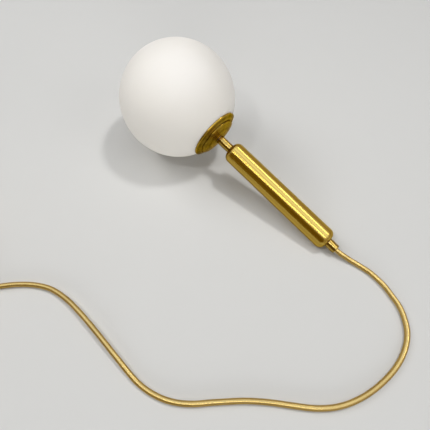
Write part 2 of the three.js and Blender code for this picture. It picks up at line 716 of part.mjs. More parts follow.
/** A folded spring clip that takes one pin loop between its leaves. */
function contactClip(name, side) {
  const half = CLIP_LENGTH / 2;
  const top = cavityTop - SEAT_GAP;
  const foot = top - CLIP_HEIGHT;
  const shape = new THREE.Shape();
  shape.moveTo(-half, foot);
  shape.lineTo(-half, top);
  shape.lineTo(half, top);
  shape.lineTo(half, foot);
  shape.lineTo(half - CLIP_THICKNESS, foot);
  shape.lineTo(half - CLIP_THICKNESS, top - CLIP_THICKNESS);
  shape.lineTo(CLIP_THICKNESS - half, top - CLIP_THICKNESS);
  shape.lineTo(CLIP_THICKNESS - half, foot);
  shape.closePath();
  const clip = prism(shape, -CLIP_WIDTH / 2, CLIP_WIDTH / 2).rotateX(Math.PI / 2);
  return named(name, clip.translate(side * pinOffset, 0, 0), springBronze);
}

/** The cord inside the rod, and its three cores down to the lampholder. */
function innerCable() {
  return named('inner_cable', rod(cordRadius, jacketEnd, glandTop - GLAND_MOUTH_LENGTH / 2), goldTextile);
}

function lampCore(name, side, material) {
  const start = jacketEnd - CORD_JOINT_GAP;
  const end = cavityTop + SEAT_GAP;
  const bend = (rodBottom + holderTop) / 2;
  const route = through([
    [side * CORE_PITCH_RADIUS, 0, start],
    [side * CORE_PITCH_RADIUS, 0, rodBottom + CORE_PITCH_RADIUS],
    [side * (CORE_PITCH_RADIUS + pinOffset) / 2, 0, bend],
    [side * pinOffset, 0, holderTop],
    [side * pinOffset, 0, end],
  ]);
  return named(name, bar(route, CORE_RADIUS, 14, COIL_SIDES), material);
}

function earthCore(name, material) {
  const start = jacketEnd - CORD_JOINT_GAP;
  const outside = EARTH_TAG_REACH - EARTH_TAG_WIDTH / 2;
  const low = rodBottom - 2 * CORE_RADIUS;
  const route = through([
    [0, CORE_PITCH_RADIUS, start],
    [0, CORE_PITCH_RADIUS, rodBottom + CORE_RADIUS],
    [0, CORE_PITCH_RADIUS + 2 * CORE_RADIUS, low],
    [0, outside - 2 * CORE_RADIUS, low],
    [0, outside, rodBottom],
    [0, outside, tagBottom - SEAT_GAP],
  ]);
  return named(name, bar(route, CORE_RADIUS, 16, COIL_SIDES), material);
}

// Bulb

const bladeTop = recessTop - SEAT_GAP;
const baseTop = holderBottom - 2 * SEAT_GAP;
const baseBottom = baseTop - BULB_BASE_HEIGHT;
const coverTop = baseBottom - SEAT_GAP;

function bulbBase() {
  const shoulder = BULB_RADIUS / 4;
  const spigot = BULB_RADIUS - BULB_COVER_WALL - SEAT_GAP;
  const cup = revolve([
    [0, baseBottom - BULB_SPIGOT_HEIGHT],
    [spigot, baseBottom - BULB_SPIGOT_HEIGHT],
    [spigot, baseBottom],
    [BULB_RADIUS, baseBottom],
    [BULB_RADIUS, baseTop - shoulder],
    [BULB_RADIUS - shoulder, baseTop],
    [0, baseTop],
  ], SMALL_SIDES);
  const blade = prism(roundedRectangle(BULB_BLADE_LENGTH, BULB_BLADE_WIDTH, RECESS_CORNER), baseBottom, bladeTop, 3);
  const slot = block(BOARD_WIDTH + 2 * SEAT_GAP, BOARD_THICKNESS + 2 * SEAT_GAP,
    baseBottom - BULB_SPIGOT_HEIGHT - CUT_OVERRUN, baseBottom + SEAT_GAP);
  return named('bulb_base', cut(join(cup, blade), slot), ceramic);
}

/** A pin of the bulb, a hairpin loop of wire. */
function bulbPin(name, side) {
  const half = PIN_LOOP_WIDTH / 2;
  const foot = bladeTop + SEAT_GAP;
  const bend = foot + PIN_LENGTH - half;
  const loop = [[0, -half, foot], [0, -half, (foot + bend) / 2]];
  for (let i = 0; i <= 4; i += 1) {
    const angle = Math.PI - (Math.PI * i) / 4;
    loop.push([0, half * Math.cos(angle), bend + half * Math.sin(angle)]);
  }
  loop.push([0, half, (foot + bend) / 2], [0, half, foot]);
  const wire = bar(through(loop), PIN_WIRE_RADIUS, 12, COIL_SIDES);
  return named(name, wire.translate(side * pinOffset, 0, 0), zincSteel);
}

function bulbCover() {
  const inside = BULB_RADIUS - BULB_COVER_WALL;
  const tip = coverTop - BULB_COVER_LENGTH + BULB_RADIUS;
  const profile = [
    [0, tip - inside],
    ...arc(0, tip, inside, -Math.PI / 2, 0, 4).slice(1),
    [inside, coverTop],
    [BULB_RADIUS, coverTop],
    ...arc(0, tip, BULB_RADIUS, 0, -Math.PI / 2, 6).slice(0, -1),
    [0, tip - BULB_RADIUS],
  ];
  return named('bulb_cover', revolve(profile, SMALL_SIDES), frostedCover);
}

function ledBoard() {
  const top = baseBottom;
  const board = block(BOARD_WIDTH, BOARD_THICKNESS, top - BOARD_LENGTH, top);
  const chips = [];
  for (let i = 0; i < CHIPS_PER_SIDE; i += 1) {
    const centre = top - BULB_SPIGOT_HEIGHT - CHIP_PITCH * (i + 0.5);
    const chip = block(CHIP_SIZE, BOARD_THICKNESS + 2 * CHIP_HEIGHT, centre - CHIP_SIZE / 2, centre + CHIP_SIZE / 2);
    chips.push(chip);
  }
  return named('led_board', join(board, ...chips), boardWhite);
}

// Cord, coil and tie

/** The coil: a spiral in on the surface, a climb of half a turn, and a spiral out on top. */
class CoilCurve extends THREE.Curve {
  getPoint(t, target = new THREE.Vector3()) {
    const sweep = THREE.MathUtils.degToRad(COIL_SWEEP_DEGREES);
    const turned = t * sweep;
    const angle = THREE.MathUtils.degToRad(COIL_START_DEGREES) + turned;
    const fromMiddle = turned - sweep / 2;
    const innerRadius = COIL_OUTER_RADIUS - (COIL_PITCH * sweep) / (4 * Math.PI);
    const radius = innerRadius + (COIL_PITCH * Math.abs(fromMiddle)) / (2 * Math.PI);
    const climbed = THREE.MathUtils.smoothstep(fromMiddle, -Math.PI / 2, Math.PI / 2);
    const height = COIL_BOTTOM + cordRadius + COIL_LAYER_RISE * climbed;
    return target.set(
      COIL_CENTRE[0] + radius * Math.cos(angle),
      COIL_CENTRE[1] + radius * Math.sin(angle),
      height,
    );
  }
}

/** Least gap between turns, measured on points half a turn or more apart. */
function leastCoilGap(curve) {
  const count = 360;
  const points = Array.from({ length: count + 1 }, (_, i) => curve.getPoint(i / count));
  const away = Math.round((count * 180) / COIL_SWEEP_DEGREES);
  let least = Infinity;
  for (let i = 0; i <= count; i += 1) {
    for (let j = i + away; j <= count; j += 1) least = Math.min(least, points[i].distanceTo(points[j]));
  }
  return least - CORD_DIAMETER;
}

function cordCoil() {
  const curve = new CoilCurve();
  const steps = Math.round((COIL_STEPS_PER_TURN * COIL_SWEEP_DEGREES) / 360);
  console.log(`least gap between the coil's turns: ${leastCoilGap(curve).toFixed(2)} mm`);
  return named('cord_coil', bar(curve, cordRadius, steps, COIL_SIDES), goldTextile);
}

/** A point on the lamp's axis, seen from outside. */
function onAxis(height) {
  return new THREE.Vector3(
    lampPlace + height * Math.cos(lampTilt),
    0,
    GLOBE_RADIUS - height * Math.sin(lampTilt),
  );
}

function cordRun() {
  const start = onAxis(glandTop - GLAND_MOUTH_LENGTH / 2 + CORD_JOINT_GAP);
  const mouth = onAxis(glandTop + CORD_DIAMETER / 2);
  const coil = new CoilCurve();
  const into = coil.getTangent(0);
  const end = coil.getPoint(0).addScaledVector(into, -CORD_JOINT_GAP);
  const route = [start.toArray(), mouth.toArray(), ...RUN_ROUTE, end.toArray()];
  return named('cord_run', bar(through(route), cordRadius, 76, CORD_SIDES), goldTextile);
}

function cordTail() {
  return named('cord_tail', bar(through(TAIL_ROUTE), cordRadius, 34, CORD_SIDES), goldTextile);
}

/** A flat tie round the coil's bundle, standing across its turns. */
function coilTie() {
  const sweepTurns = COIL_SWEEP_DEGREES / 360;
  const inner = COIL_OUTER_RADIUS - (COIL_PITCH * sweepTurns) / 2 - cordRadius - TIE_PLAY;
  const outer = COIL_OUTER_RADIUS + cordRadius + TIE_PLAY;
  const low = COIL_BOTTOM - TIE_PLAY;
  const high = COIL_BOTTOM + CORD_DIAMETER + COIL_LAYER_RISE + TIE_PLAY;
  const middle = (inner + outer) / 2;
  const corner = cordRadius;
  const around = (grow) => roundedRectangle(outer - inner + 2 * grow, high - low + 2 * grow, corner + grow);
  const band = prism(around(TIE_THICKNESS), -TIE_WIDTH / 2, TIE_WIDTH / 2, 4);
  const room = prism(around(0), -TIE_WIDTH, TIE_WIDTH, 4);
  const tie = cut(band, room)
    .rotateX(Math.PI / 2)
    .translate(middle, 0, (low + high) / 2)
    .rotateZ(THREE.MathUtils.degToRad(TIE_DEGREES))
    .translate(COIL_CENTRE[0], COIL_CENTRE[1], 0);
  return named('coil_tie', tie, whiteNylon);
}

// Ceiling rose, built with its ceiling side at height 0 and its cord side up

const roseFaceIn = ROSE_HEIGHT - ROSE_WALL;
const roseGripBottom = ROSE_HEIGHT + SEAT_GAP;
const nippleTop = roseGripBottom + NIPPLE_ENGAGEMENT;
const nippleBottom = nippleTop - NIPPLE_LENGTH;
const nippleNutTop = roseFaceIn - SEAT_GAP;
const studOffset = STUD_SPACING / 2;
const tabEdge = STRAP_WIDTH / 2 + STRAP_TAB_REACH;
const blockBottom = STRAP_THICKNESS + SEAT_GAP;
const blockTop = blockBottom + BLOCK_HEIGHT;
const blockCentre = tabEdge - BLOCK_WIDTH / 2 - SEAT_GAP;
const blockScrewOffset = (BLOCK_LENGTH + BLOCK_LUG) / 2;
const blockLugTop = blockTop - BLOCK_TOWER_HEIGHT;

function roseCup() {
  const quarter = Math.PI / 2;
  const round = ROSE_EDGE_RADIUS;
  const inside = ROSE_RADIUS - ROSE_WALL;
  const innerRound = round - ROSE_WALL;
  const hole = ROD_RADIUS + ROD_PLAY;
  const cup = revolve(closed([
    [inside, 0],
    [ROSE_RADIUS, 0],
    ...arc(ROSE_RADIUS - round, ROSE_HEIGHT - round, round, 0, quarter, 4),
    [hole, ROSE_HEIGHT],
    [hole, roseFaceIn],
    ...arc(inside - innerRound, roseFaceIn - innerRound, innerRound, quarter, 0, 3),
  ]), TUBE_SIDES);
  const holes = [-1, 1].map((side) => (
    rod(STUD_RADIUS + SCREW_PLAY, roseFaceIn - CUT_OVERRUN, ROSE_HEIGHT + CUT_OVERRUN, FINE_SIDES)
      .translate(side * studOffset, 0, 0)
  ));
  return named('rose_cup', cut(cup, ...holes), satinBrass);
}

function roundHole(radius, x, y) {
  const hole = new THREE.Path();
  hole.absarc(x, y, radius, 0, 2 * Math.PI, true);
  return hole;
}

function slotHole(length, width, x) {
  const [half, radius] = [(length - width) / 2, width / 2];
  const hole = new THREE.Path();
  hole.absarc(x + half, 0, radius, -Math.PI / 2, Math.PI / 2);
  hole.absarc(x - half, 0, radius, Math.PI / 2, Math.PI * 1.5);
  hole.closePath();
  return hole;
}

/** The crossbar that is screwed to the ceiling, with a tab for the terminal block. */
function roseBracket() {
  const [x, y] = [STRAP_LENGTH / 2, STRAP_WIDTH / 2];
  const tab = STRAP_TAB_LENGTH / 2;
  const shape = new THREE.Shape();
  shape.moveTo(-x, y);
  shape.lineTo(-x, -y);
  shape.lineTo(-tab, -y);
  shape.lineTo(-tab, -tabEdge);
  shape.lineTo(tab, -tabEdge);
  shape.lineTo(tab, -y);
  shape.lineTo(x, -y);
  shape.lineTo(x, y);
  shape.closePath();
  shape.holes.push(roundHole(STRAP_CENTRE_HOLE_RADIUS, 0, 0));
  shape.holes.push(roundHole(STUD_RADIUS + SCREW_PLAY, -studOffset, 0));
  shape.holes.push(roundHole(STUD_RADIUS + SCREW_PLAY, studOffset, 0));
  shape.holes.push(roundHole(SMALL_SCREW_RADIUS + SCREW_PLAY, EARTH_SCREW_OFFSET, 0));
  shape.holes.push(roundHole(SMALL_SCREW_RADIUS + SCREW_PLAY, blockScrewOffset, -blockCentre));
  shape.holes.push(slotHole(STRAP_SLOT_LENGTH, STRAP_SLOT_WIDTH, -STRAP_SLOT_OFFSET));
  shape.holes.push(slotHole(STRAP_SLOT_LENGTH, STRAP_SLOT_WIDTH, STRAP_SLOT_OFFSET));
  return named('rose_bracket', prism(shape, 0, STRAP_THICKNESS, 4), zincSteel);
}

function roseStud(name, side) {
  const stud = rod(STUD_RADIUS, SEAT_GAP, ROSE_HEIGHT + STUD_PROJECTION, FINE_SIDES);
  return named(name, stud.translate(side * studOffset, 0, 0), zincSteel);
}

/** A domed cap nut with a blind hole. */
function roseCapNut(name, side) {
  const bottom = ROSE_HEIGHT + SEAT_GAP;
  const dome = CAP_NUT_HEIGHT - CAP_NUT_SKIRT;
  const profile = [[0, bottom + CAP_NUT_BORE_DEPTH], [STUD_RADIUS + SCREW_PLAY, bottom + CAP_NUT_BORE_DEPTH],
    [STUD_RADIUS + SCREW_PLAY, bottom], [CAP_NUT_RADIUS, bottom], [CAP_NUT_RADIUS, bottom + CAP_NUT_SKIRT]];
  for (let i = 1; i <= 5; i += 1) {
    const angle = (Math.PI / 2) * (i / 5);
    profile.push([CAP_NUT_RADIUS * Math.cos(angle), bottom + CAP_NUT_SKIRT + dome * Math.sin(angle)]);
  }
  profile[profile.length - 1][0] = 0;
  return named(name, revolve(profile, FINE_SIDES).translate(side * studOffset, 0, 0), polishedBrass);
}

function roseNipple() {
  return named('rose_nipple', pipe(ROD_RADIUS, ROD_BORE_RADIUS, nippleBottom, nippleTop), zincSteel);
}

function terminalBlock() {
  const base = block(BLOCK_LENGTH + BLOCK_LUG, BLOCK_WIDTH, blockBottom, blockTop - BLOCK_TOWER_HEIGHT);
  base.translate(BLOCK_LUG / 2, 0, 0);
  const towers = [];
  const bores = [];
  for (let i = 0; i < BLOCK_WAYS; i += 1) {
    const x = (i - (BLOCK_WAYS - 1) / 2) * BLOCK_PITCH;
    towers.push(rod(BLOCK_TOWER_RADIUS, blockBottom, blockTop, FINE_SIDES).translate(x, 0, 0));
    const bore = rod(BLOCK_BORE_RADIUS, -BLOCK_WIDTH, BLOCK_WIDTH, FINE_SIDES).rotateX(Math.PI / 2);
    bores.push(bore.translate(x, 0, blockBottom + BLOCK_HEIGHT / 3));
  }
  const screwHole = rod(SMALL_SCREW_RADIUS + SCREW_PLAY, blockBottom - CUT_OVERRUN, blockTop, FINE_SIDES);
  screwHole.translate(blockScrewOffset, 0, 0);
  const solid = cut(join(base, ...towers), ...bores, screwHole);
  return named('terminal_block', solid.translate(0, -blockCentre, 0), whiteNylon);
}

function smallScrew(name, x, y, face, length) {
  const screw = panScrew(face, length, SMALL_SCREW_RADIUS, SMALL_SCREW_HEAD_RADIUS, SMALL_SCREW_HEAD_HEIGHT);
  return named(name, screw.translate(x, y, 0), zincSteel);
}

/** A core from the cord's end to its way in the terminal block. */
function tailCore(name, place, material) {
  const x = place * BLOCK_PITCH;
  const start = CORD_END_HEIGHT - CORD_JOINT_GAP;
  const way = blockBottom + BLOCK_HEIGHT / 3;
  const face = -(blockCentre - BLOCK_WIDTH / 2);
  const route = through([
    [place * CORE_SPREAD, -CORE_RADIUS, start],
    [place * CORE_SPREAD, -CORE_RADIUS, start - 2 * CORE_RADIUS],
    [(x + place * CORE_SPREAD) / 2, face / 2, (start + way) / 2 - CORE_RADIUS],
    [x, face + 3 * CORE_RADIUS, way],
    [x, face - CORE_RADIUS, way],
  ]);
  return named(name, bar(route, CORE_RADIUS, 14, COIL_SIDES), material);
}

// Height in the rose at which the cord ends
const CORD_END_HEIGHT = 12;

function ceilingRose() {
  const rose = new THREE.Group();
  rose.add(
    roseCup(),
    roseBracket(),
    roseStud('rose_stud_left', -1),
    roseStud('rose_stud_right', 1),
    roseCapNut('rose_cap_nut_left', -1),
    roseCapNut('rose_cap_nut_right', 1),
    cordGrip('rose_grip', roseGripBottom, polishedBrass),
    gripScrew('rose_grip_screw', roseGripBottom),
    roseNipple(),
    hexNut('rose_nipple_nut', NUT_ACROSS_FLATS, NIPPLE_NUT_HEIGHT, nippleNutTop - NIPPLE_NUT_HEIGHT, ROD_RADIUS + ROD_PLAY),
    terminalBlock(),
    smallScrew('terminal_block_screw', blockScrewOffset, -blockCentre, blockLugTop + SEAT_GAP, blockLugTop - SEAT_GAP),
    smallScrew('rose_earth_screw', EARTH_SCREW_OFFSET, 0, STRAP_THICKNESS + SEAT_GAP, STRAP_THICKNESS),
    tailCore('tail_core_live', -1, brownCore),
    tailCore('tail_core_neutral', 0, blueCore),
    tailCore('tail_core_earth', 1, greenCore),
  );
  rose.rotation.y = Math.PI / 2;
  rose.position.set(ROSE_PLACE[0], ROSE_PLACE[1], ROSE_RADIUS);
  return rose;
}

// The lamp lies on its globe and on the far shoulder of its tube
const shoulderHeight = bodyTop - SHOULDER_RADIUS;
const shoulderReach = BODY_RADIUS - SHOULDER_RADIUS;
const lampTilt = Math.asin((GLOBE_RADIUS - SHOULDER_RADIUS) / Math.hypot(shoulderHeight, shoulderReach))
  - Math.atan2(shoulderReach, shoulderHeight);
const lampReach = glandTop * Math.cos(lampTilt) + GLAND_RADIUS * Math.sin(lampTilt);
const lampPlace = (GLOBE_RADIUS - lampReach) / 2;

function lamp() {
  const head = new THREE.Group();
  head.add(
    glassGlobe(),
    globeGasket(),
    galleryPlate(),
    capDome(),
    threadCollar(),
    lockWasher(),
    hexNut('collar_nut', NUT_ACROSS_FLATS, NUT_HEIGHT, collarNutBottom, ROD_RADIUS + ROD_PLAY),
    threadedRod(),
    stemTube(),
    bodyTube(),
    cordGrip('cord_gland', glandBottom, polishedBrass),
    gripLiner('gland_sleeve', glandBottom),
    gripScrew('gland_set_screw', glandBottom),
    holderBracket(),
    earthTag(),
    hexNut('bracket_nut', NUT_ACROSS_FLATS, NUT_HEIGHT, bracketNutBottom, ROD_RADIUS + ROD_PLAY),
    lampholder(),
    contactClip('contact_clip_left', -1),
    contactClip('contact_clip_right', 1),
    bracketScrew('bracket_screw_left', -1),
    bracketScrew('bracket_screw_right', 1),
    innerCable(),
    lampCore('core_live', -1, brownCore),
    lampCore('core_neutral', 1, blueCore),
    earthCore('core_earth', greenCore),
    bulbBase(),
    bulbPin('bulb_pin_left', -1),
    bulbPin('bulb_pin_right', 1),
    bulbCover(),
    ledBoard(),
  );
  head.rotation.y = Math.PI / 2 + lampTilt;
  head.position.set(lampPlace, 0, GLOBE_RADIUS);
  return head;
}

const pendant = new THREE.Group();
pendant.add(lamp(), cordRun(), cordCoil(), cordTail(), coilTie(), ceilingRose());

export default pendant;
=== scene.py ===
"""Looks of a brass globe pendant light that lies on a pale table.

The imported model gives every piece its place. This script turns finer copies of the pieces that show, lays the
woven cord along its route, gives each piece a procedural finish and sets up a plain studio around them.
Lengths are in metres, in the model's own frame.
"""

import json
import logging
import math
from dataclasses import dataclass
from enum import Enum
from typing import Sequence

import bmesh
import bpy
from mathutils import Matrix, Vector


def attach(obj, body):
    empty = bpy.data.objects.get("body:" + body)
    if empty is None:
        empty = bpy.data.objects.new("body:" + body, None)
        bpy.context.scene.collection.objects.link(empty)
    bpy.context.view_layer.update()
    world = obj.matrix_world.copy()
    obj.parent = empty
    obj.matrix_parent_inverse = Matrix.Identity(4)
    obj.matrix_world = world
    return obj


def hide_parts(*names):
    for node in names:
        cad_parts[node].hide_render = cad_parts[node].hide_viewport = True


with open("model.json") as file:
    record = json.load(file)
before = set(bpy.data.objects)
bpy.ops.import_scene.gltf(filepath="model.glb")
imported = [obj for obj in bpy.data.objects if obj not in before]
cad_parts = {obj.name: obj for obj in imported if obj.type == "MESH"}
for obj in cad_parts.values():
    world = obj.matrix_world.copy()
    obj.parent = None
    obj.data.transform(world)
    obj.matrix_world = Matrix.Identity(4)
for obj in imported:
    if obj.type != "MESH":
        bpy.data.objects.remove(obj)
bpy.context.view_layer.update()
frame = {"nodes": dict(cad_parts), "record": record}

MM = 0.001
SAME_POINT = 0.0001 * MM
SMOOTH_BELOW = 35.0
ORIGIN = (0.0, 0.0, 0.0)
UP = (0.0, 0.0, 1.0)

Colour = tuple[float, float, float]
Pair = tuple[float, float]
Triple = tuple[float, float, float]

Piece = bpy.types.Object
Material = bpy.types.Material
Tree = bpy.types.NodeTree
Node = bpy.types.Node
Socket = bpy.types.NodeSocket
Sockets = Sequence[Socket]
Feeds = dict[str, object]

log = logging.getLogger("pendant")


class Side(Enum):
    """The two sides of a pair of pieces."""

    LEFT = -1
    RIGHT = 1


class Effect(Enum):
    """Surface effects that several materials share."""

    TURNED_GRAIN = "turned_grain"
    HANDLING = "handling"
    EDGE_WEAR = "edge_wear"
    BRAID = "braid"
    SPECKLE = "speckle"


# Node trees


class Graph:
    """A node tree that is filled by short calls."""

    def __init__(self, tree: Tree) -> None:
        """Wrap a node tree."""
        self.tree = tree

    def feed(self, socket: Socket, value: object) -> None:
        """Link or set one input.

        Args:
            socket: The input.
            value: An output to link, or a constant.
        """
        if isinstance(value, Socket):
            self.tree.links.new(value, socket)
        elif isinstance(value, tuple) and socket.type == "RGBA":
            socket.default_value = (*value, 1.0)
        else:
            socket.default_value = value

    def node(self, kind: str, feeds: dict[str | int, object] | None = None, **settings: object) -> Node:
        """Add a node.

        Args:
            kind: The node's type name.
            feeds: Values for its inputs, by name or place.
            settings: Values for its own properties.

        Returns:
            The node.
        """
        made = self.tree.nodes.new(kind)
        for key, value in settings.items():
            setattr(made, key, value)
        for key, value in (feeds or {}).items():
            self.feed(made.inputs[key], value)
        return made

    def math(self, operation: str, *values: object) -> Socket:
        """Add a Math node and return its output."""
        return self.node("ShaderNodeMath", dict(enumerate(values)), operation=operation).outputs[0]

    def vector(self, operation: str, *values: object) -> Socket:
        """Add a Vector Math node and return its output, a value for a dot product or a length."""
        made = self.node("ShaderNodeVectorMath", dict(enumerate(values)), operation=operation)
        return made.outputs["Value" if operation in ("DOT_PRODUCT", "LENGTH") else "Vector"]

    def scaled(self, vector: object, scale: object) -> Socket:
        """Scale a vector and return it."""
        feeds = {0: vector, "Scale": scale}
        return self.node("ShaderNodeVectorMath", feeds, operation="SCALE").outputs["Vector"]

    def mix(self, factor: object, first: object, second: object) -> Socket:
        """Mix two values and return the result."""
        return self.node("ShaderNodeMix", {0: factor, 2: first, 3: second}, data_type="FLOAT").outputs[0]

    def tint(self, factor: object, first: object, second: object) -> Socket:
        """Mix two colours and return the result."""
        return self.node("ShaderNodeMix", {0: factor, 6: first, 7: second}, data_type="RGBA").outputs[2]

    def span(
        self, value: object, low: float, high: float, at_low: float = 0.0, at_high: float = 1.0,
    ) -> Socket:
        """Map a range of a value to another, held at its ends, and return it."""
        feeds = {0: value, 1: low, 2: high, 3: at_low, 4: at_high}
        return self.node("ShaderNodeMapRange", feeds, clamp=True).outputs[0]

    def noise(self, vector: object, scale: object, detail: float, dimensions: str = "3D") -> Socket:
        """Add a Noise Texture and return its value."""
        feeds = {"Vector": vector, "Scale": scale, "Detail": detail}
        return self.node("ShaderNodeTexNoise", feeds, noise_dimensions=dimensions).outputs["Fac"]

    def bump(self, height: object, strength: float, distance: float) -> Socket:
        """Add a Bump node and return its normal."""
        feeds = {"Height": height, "Strength": strength, "Distance": distance}
        return self.node("ShaderNodeBump", feeds).outputs["Normal"]

    def joined(self, first: object, second: object) -> Socket:
        """Join two values into a flat vector and return it."""
        return self.node("ShaderNodeCombineXYZ", {0: first, 1: second}).outputs[0]

    def parts(self, vector: object) -> Sockets:
        """Return the three parts of a vector."""
        return self.node("ShaderNodeSeparateXYZ", {0: vector}).outputs


class Effects:
    """The shader node groups, each built once."""

    def __init__(self) -> None:
        """Start with no group built."""
        self.built: dict[Effect, Tree] = {}

    def group(self, effect: Effect) -> Tree:
        """Return the group of an effect.

        Args:
            effect: Which effect.

        Returns:
            Its tree, built on the first call by the method of the same name.
        """
        if effect not in self.built:
            self.built[effect] = getattr(self, effect.value)()
        return self.built[effect]

    @staticmethod
    def start(effect: Effect, inputs: dict[str, float | Triple]) -> tuple[Graph, Sockets]:
        """Start a group.

        Args:
            effect: The effect that gives its name.
            inputs: The default of each named input, a value or a vector.

        Returns:
            The group's graph, and what its inputs bring.
        """
        tree = bpy.data.node_groups.new(effect.value, "ShaderNodeTree")
        for name, default in inputs.items():
            kind = "NodeSocketFloat" if isinstance(default, float) else "NodeSocketVector"
            tree.interface.new_socket(name=name, in_out="INPUT", socket_type=kind).default_value = default
        graph = Graph(tree)
        return graph, graph.node("NodeGroupInput").outputs

    @staticmethod
    def close(graph: Graph, outputs: dict[str, Socket]) -> Tree:
        """Give a group its outputs, all plain values.

        Args:
            graph: The group's graph.
            outputs: What each named output puts out.

        Returns:
            The group's tree.
        """
        for name in outputs:
            graph.tree.interface.new_socket(name=name, in_out="OUTPUT", socket_type="NodeSocketFloat")
        graph.node("NodeGroupOutput", outputs)
        return graph.tree

    def turned_grain(self) -> Tree:
        """Build the rings that a lathe leaves around an axis, and the painted reflection streaks that cross
        them: lines along a tube and fans on a disc.

        Returns:
            The group's tree.
        """
        graph, given = self.start(Effect.TURNED_GRAIN, {
            "Position": ORIGIN,
            "Centre": ORIGIN,
            "Axis": UP,
            "Rings per metre": 2000.0,
            "Painted streaks around": 14.0,
        })
        away = graph.vector("SUBTRACT", given["Position"], given["Centre"])
        along = graph.vector("DOT_PRODUCT", away, given["Axis"])
        across = graph.vector("SUBTRACT", away, graph.scaled(given["Axis"], along))
        rings = given["Rings per metre"]
        outward = graph.math("MULTIPLY", graph.vector("LENGTH", across), rings)
        place = graph.joined(outward, graph.math("MULTIPLY", along, rings))
        fine = graph.noise(place, scale=1.0, detail=3.0, dimensions="2D")
        broad = graph.noise(place, scale=0.3, detail=2.0, dimensions="2D")
        drift = graph.noise(given["Position"], scale=25.0, detail=2.0)
        # Painted reflection: noise by the direction around the axis only, so darker streaks run along a tube
        # and fan out on a disc, standing in for reflected room lights.
        painted_streaks = graph.noise(graph.vector("NORMALIZE", across), scale=given["Painted streaks around"], detail=3.0)
        strength = graph.span(drift, low=0.3, high=0.7, at_low=0.6, at_high=1.0)
        broad_share, drift_share = 0.6, 0.2
        return self.close(graph, {
            "Height": graph.math("MULTIPLY", graph.mix(broad_share, fine, broad), strength),
            "Tone": graph.span(graph.mix(drift_share, broad, drift), low=0.38, high=0.62),
            "Mark": graph.span(painted_streaks, low=0.4, high=0.62),
        })

    def handling(self) -> Tree:
        """Build the faint clouds of a surface that has been wiped and touched.

        Returns:
            The group's tree.
        """
        graph, given = self.start(Effect.HANDLING, {"Position": ORIGIN, "Scale": 20.0})
        cloud = graph.noise(given["Position"], scale=given["Scale"], detail=4.0)
        return self.close(graph, {"Mask": graph.span(cloud, low=0.35, high=0.68)})

    def edge_wear(self) -> Tree:
        """Build the broken line of wear along outer edges.

        Returns:
            The group's tree.
        """
        graph, given = self.start(Effect.EDGE_WEAR, {"Position": ORIGIN, "Pointiness": 0.5})
        edge = graph.span(given["Pointiness"], low=0.52, high=0.62)
        broken = graph.span(graph.noise(given["Position"], scale=160.0, detail=3.0), low=0.35, high=0.6)
        return self.close(graph, {"Mask": graph.math("MULTIPLY", edge, broken)})

    def braid(self) -> Tree:
        """Build the over-and-under of two families of threads around a cord.

        Returns:
            The group's tree.
        """
        graph, given = self.start(Effect.BRAID, {
            "Around": 0.0,
            "Along": 0.0,
            "Threads": 24.0,
            "Crossings per metre": 900.0,
        })
        around = graph.math("MULTIPLY", given["Around"], given["Threads"])
        along = graph.math("MULTIPLY", given["Along"], given["Crossings per metre"])
        first = graph.math("ADD", around, along)
        second = graph.math("SUBTRACT", around, along)
        ridges = []
        for line in (first, second):
            ridges.append(graph.math("SINE", graph.math("MULTIPLY", graph.math("FRACT", line), math.pi)))
        cells = graph.math("ADD", graph.math("FLOOR", first), graph.math("FLOOR", second))
        over = graph.math("FLOORED_MODULO", cells, 2.0)
        roundness, lift_share, fibre_share = 0.6, 0.5, 0.25
        risen = []
        for ridge, crossed in (ridges, reversed(ridges)):
            lift = graph.math("MULTIPLY_ADD", crossed, lift_share, 1.0 - lift_share)
            risen.append(graph.math("MULTIPLY", graph.math("POWER", ridge, roundness), lift))
        height = graph.mix(over, *risen)
        fibre = graph.joined(graph.mix(over, first, second), graph.mix(over, second, first))
        stretched = (9.0, 0.7, 1.0)
        strands = graph.node("ShaderNodeMapping", {"Vector": fibre, "Scale": stretched}).outputs[0]
        threads = graph.noise(strands, scale=1.0, detail=2.0, dimensions="2D")
        return self.close(graph, {
            "Height": graph.math("MULTIPLY_ADD", threads, fibre_share, height),
            "Gap": graph.span(height, low=0.15, high=0.55, at_low=1.0, at_high=0.0),
            "Tone": graph.span(threads, low=0.3, high=0.7),
        })

    def speckle(self) -> Tree:
        """Build the fine tooth of a moulded, fired or plated surface.

        Returns:
            The group's tree.
        """
        graph, given = self.start(Effect.SPECKLE, {"Position": ORIGIN, "Scale": 900.0})
        coarseness, coarse_share = 0.12, 0.35
        coarse_scale = graph.math("MULTIPLY", given["Scale"], coarseness)
        fine = graph.noise(given["Position"], scale=given["Scale"], detail=3.0)
        coarse = graph.noise(given["Position"], scale=coarse_scale, detail=2.0)
        return self.close(graph, {
            "Height": graph.mix(coarse_share, fine, coarse),
            "Tone": graph.span(coarse, low=0.35, high=0.65),
        })


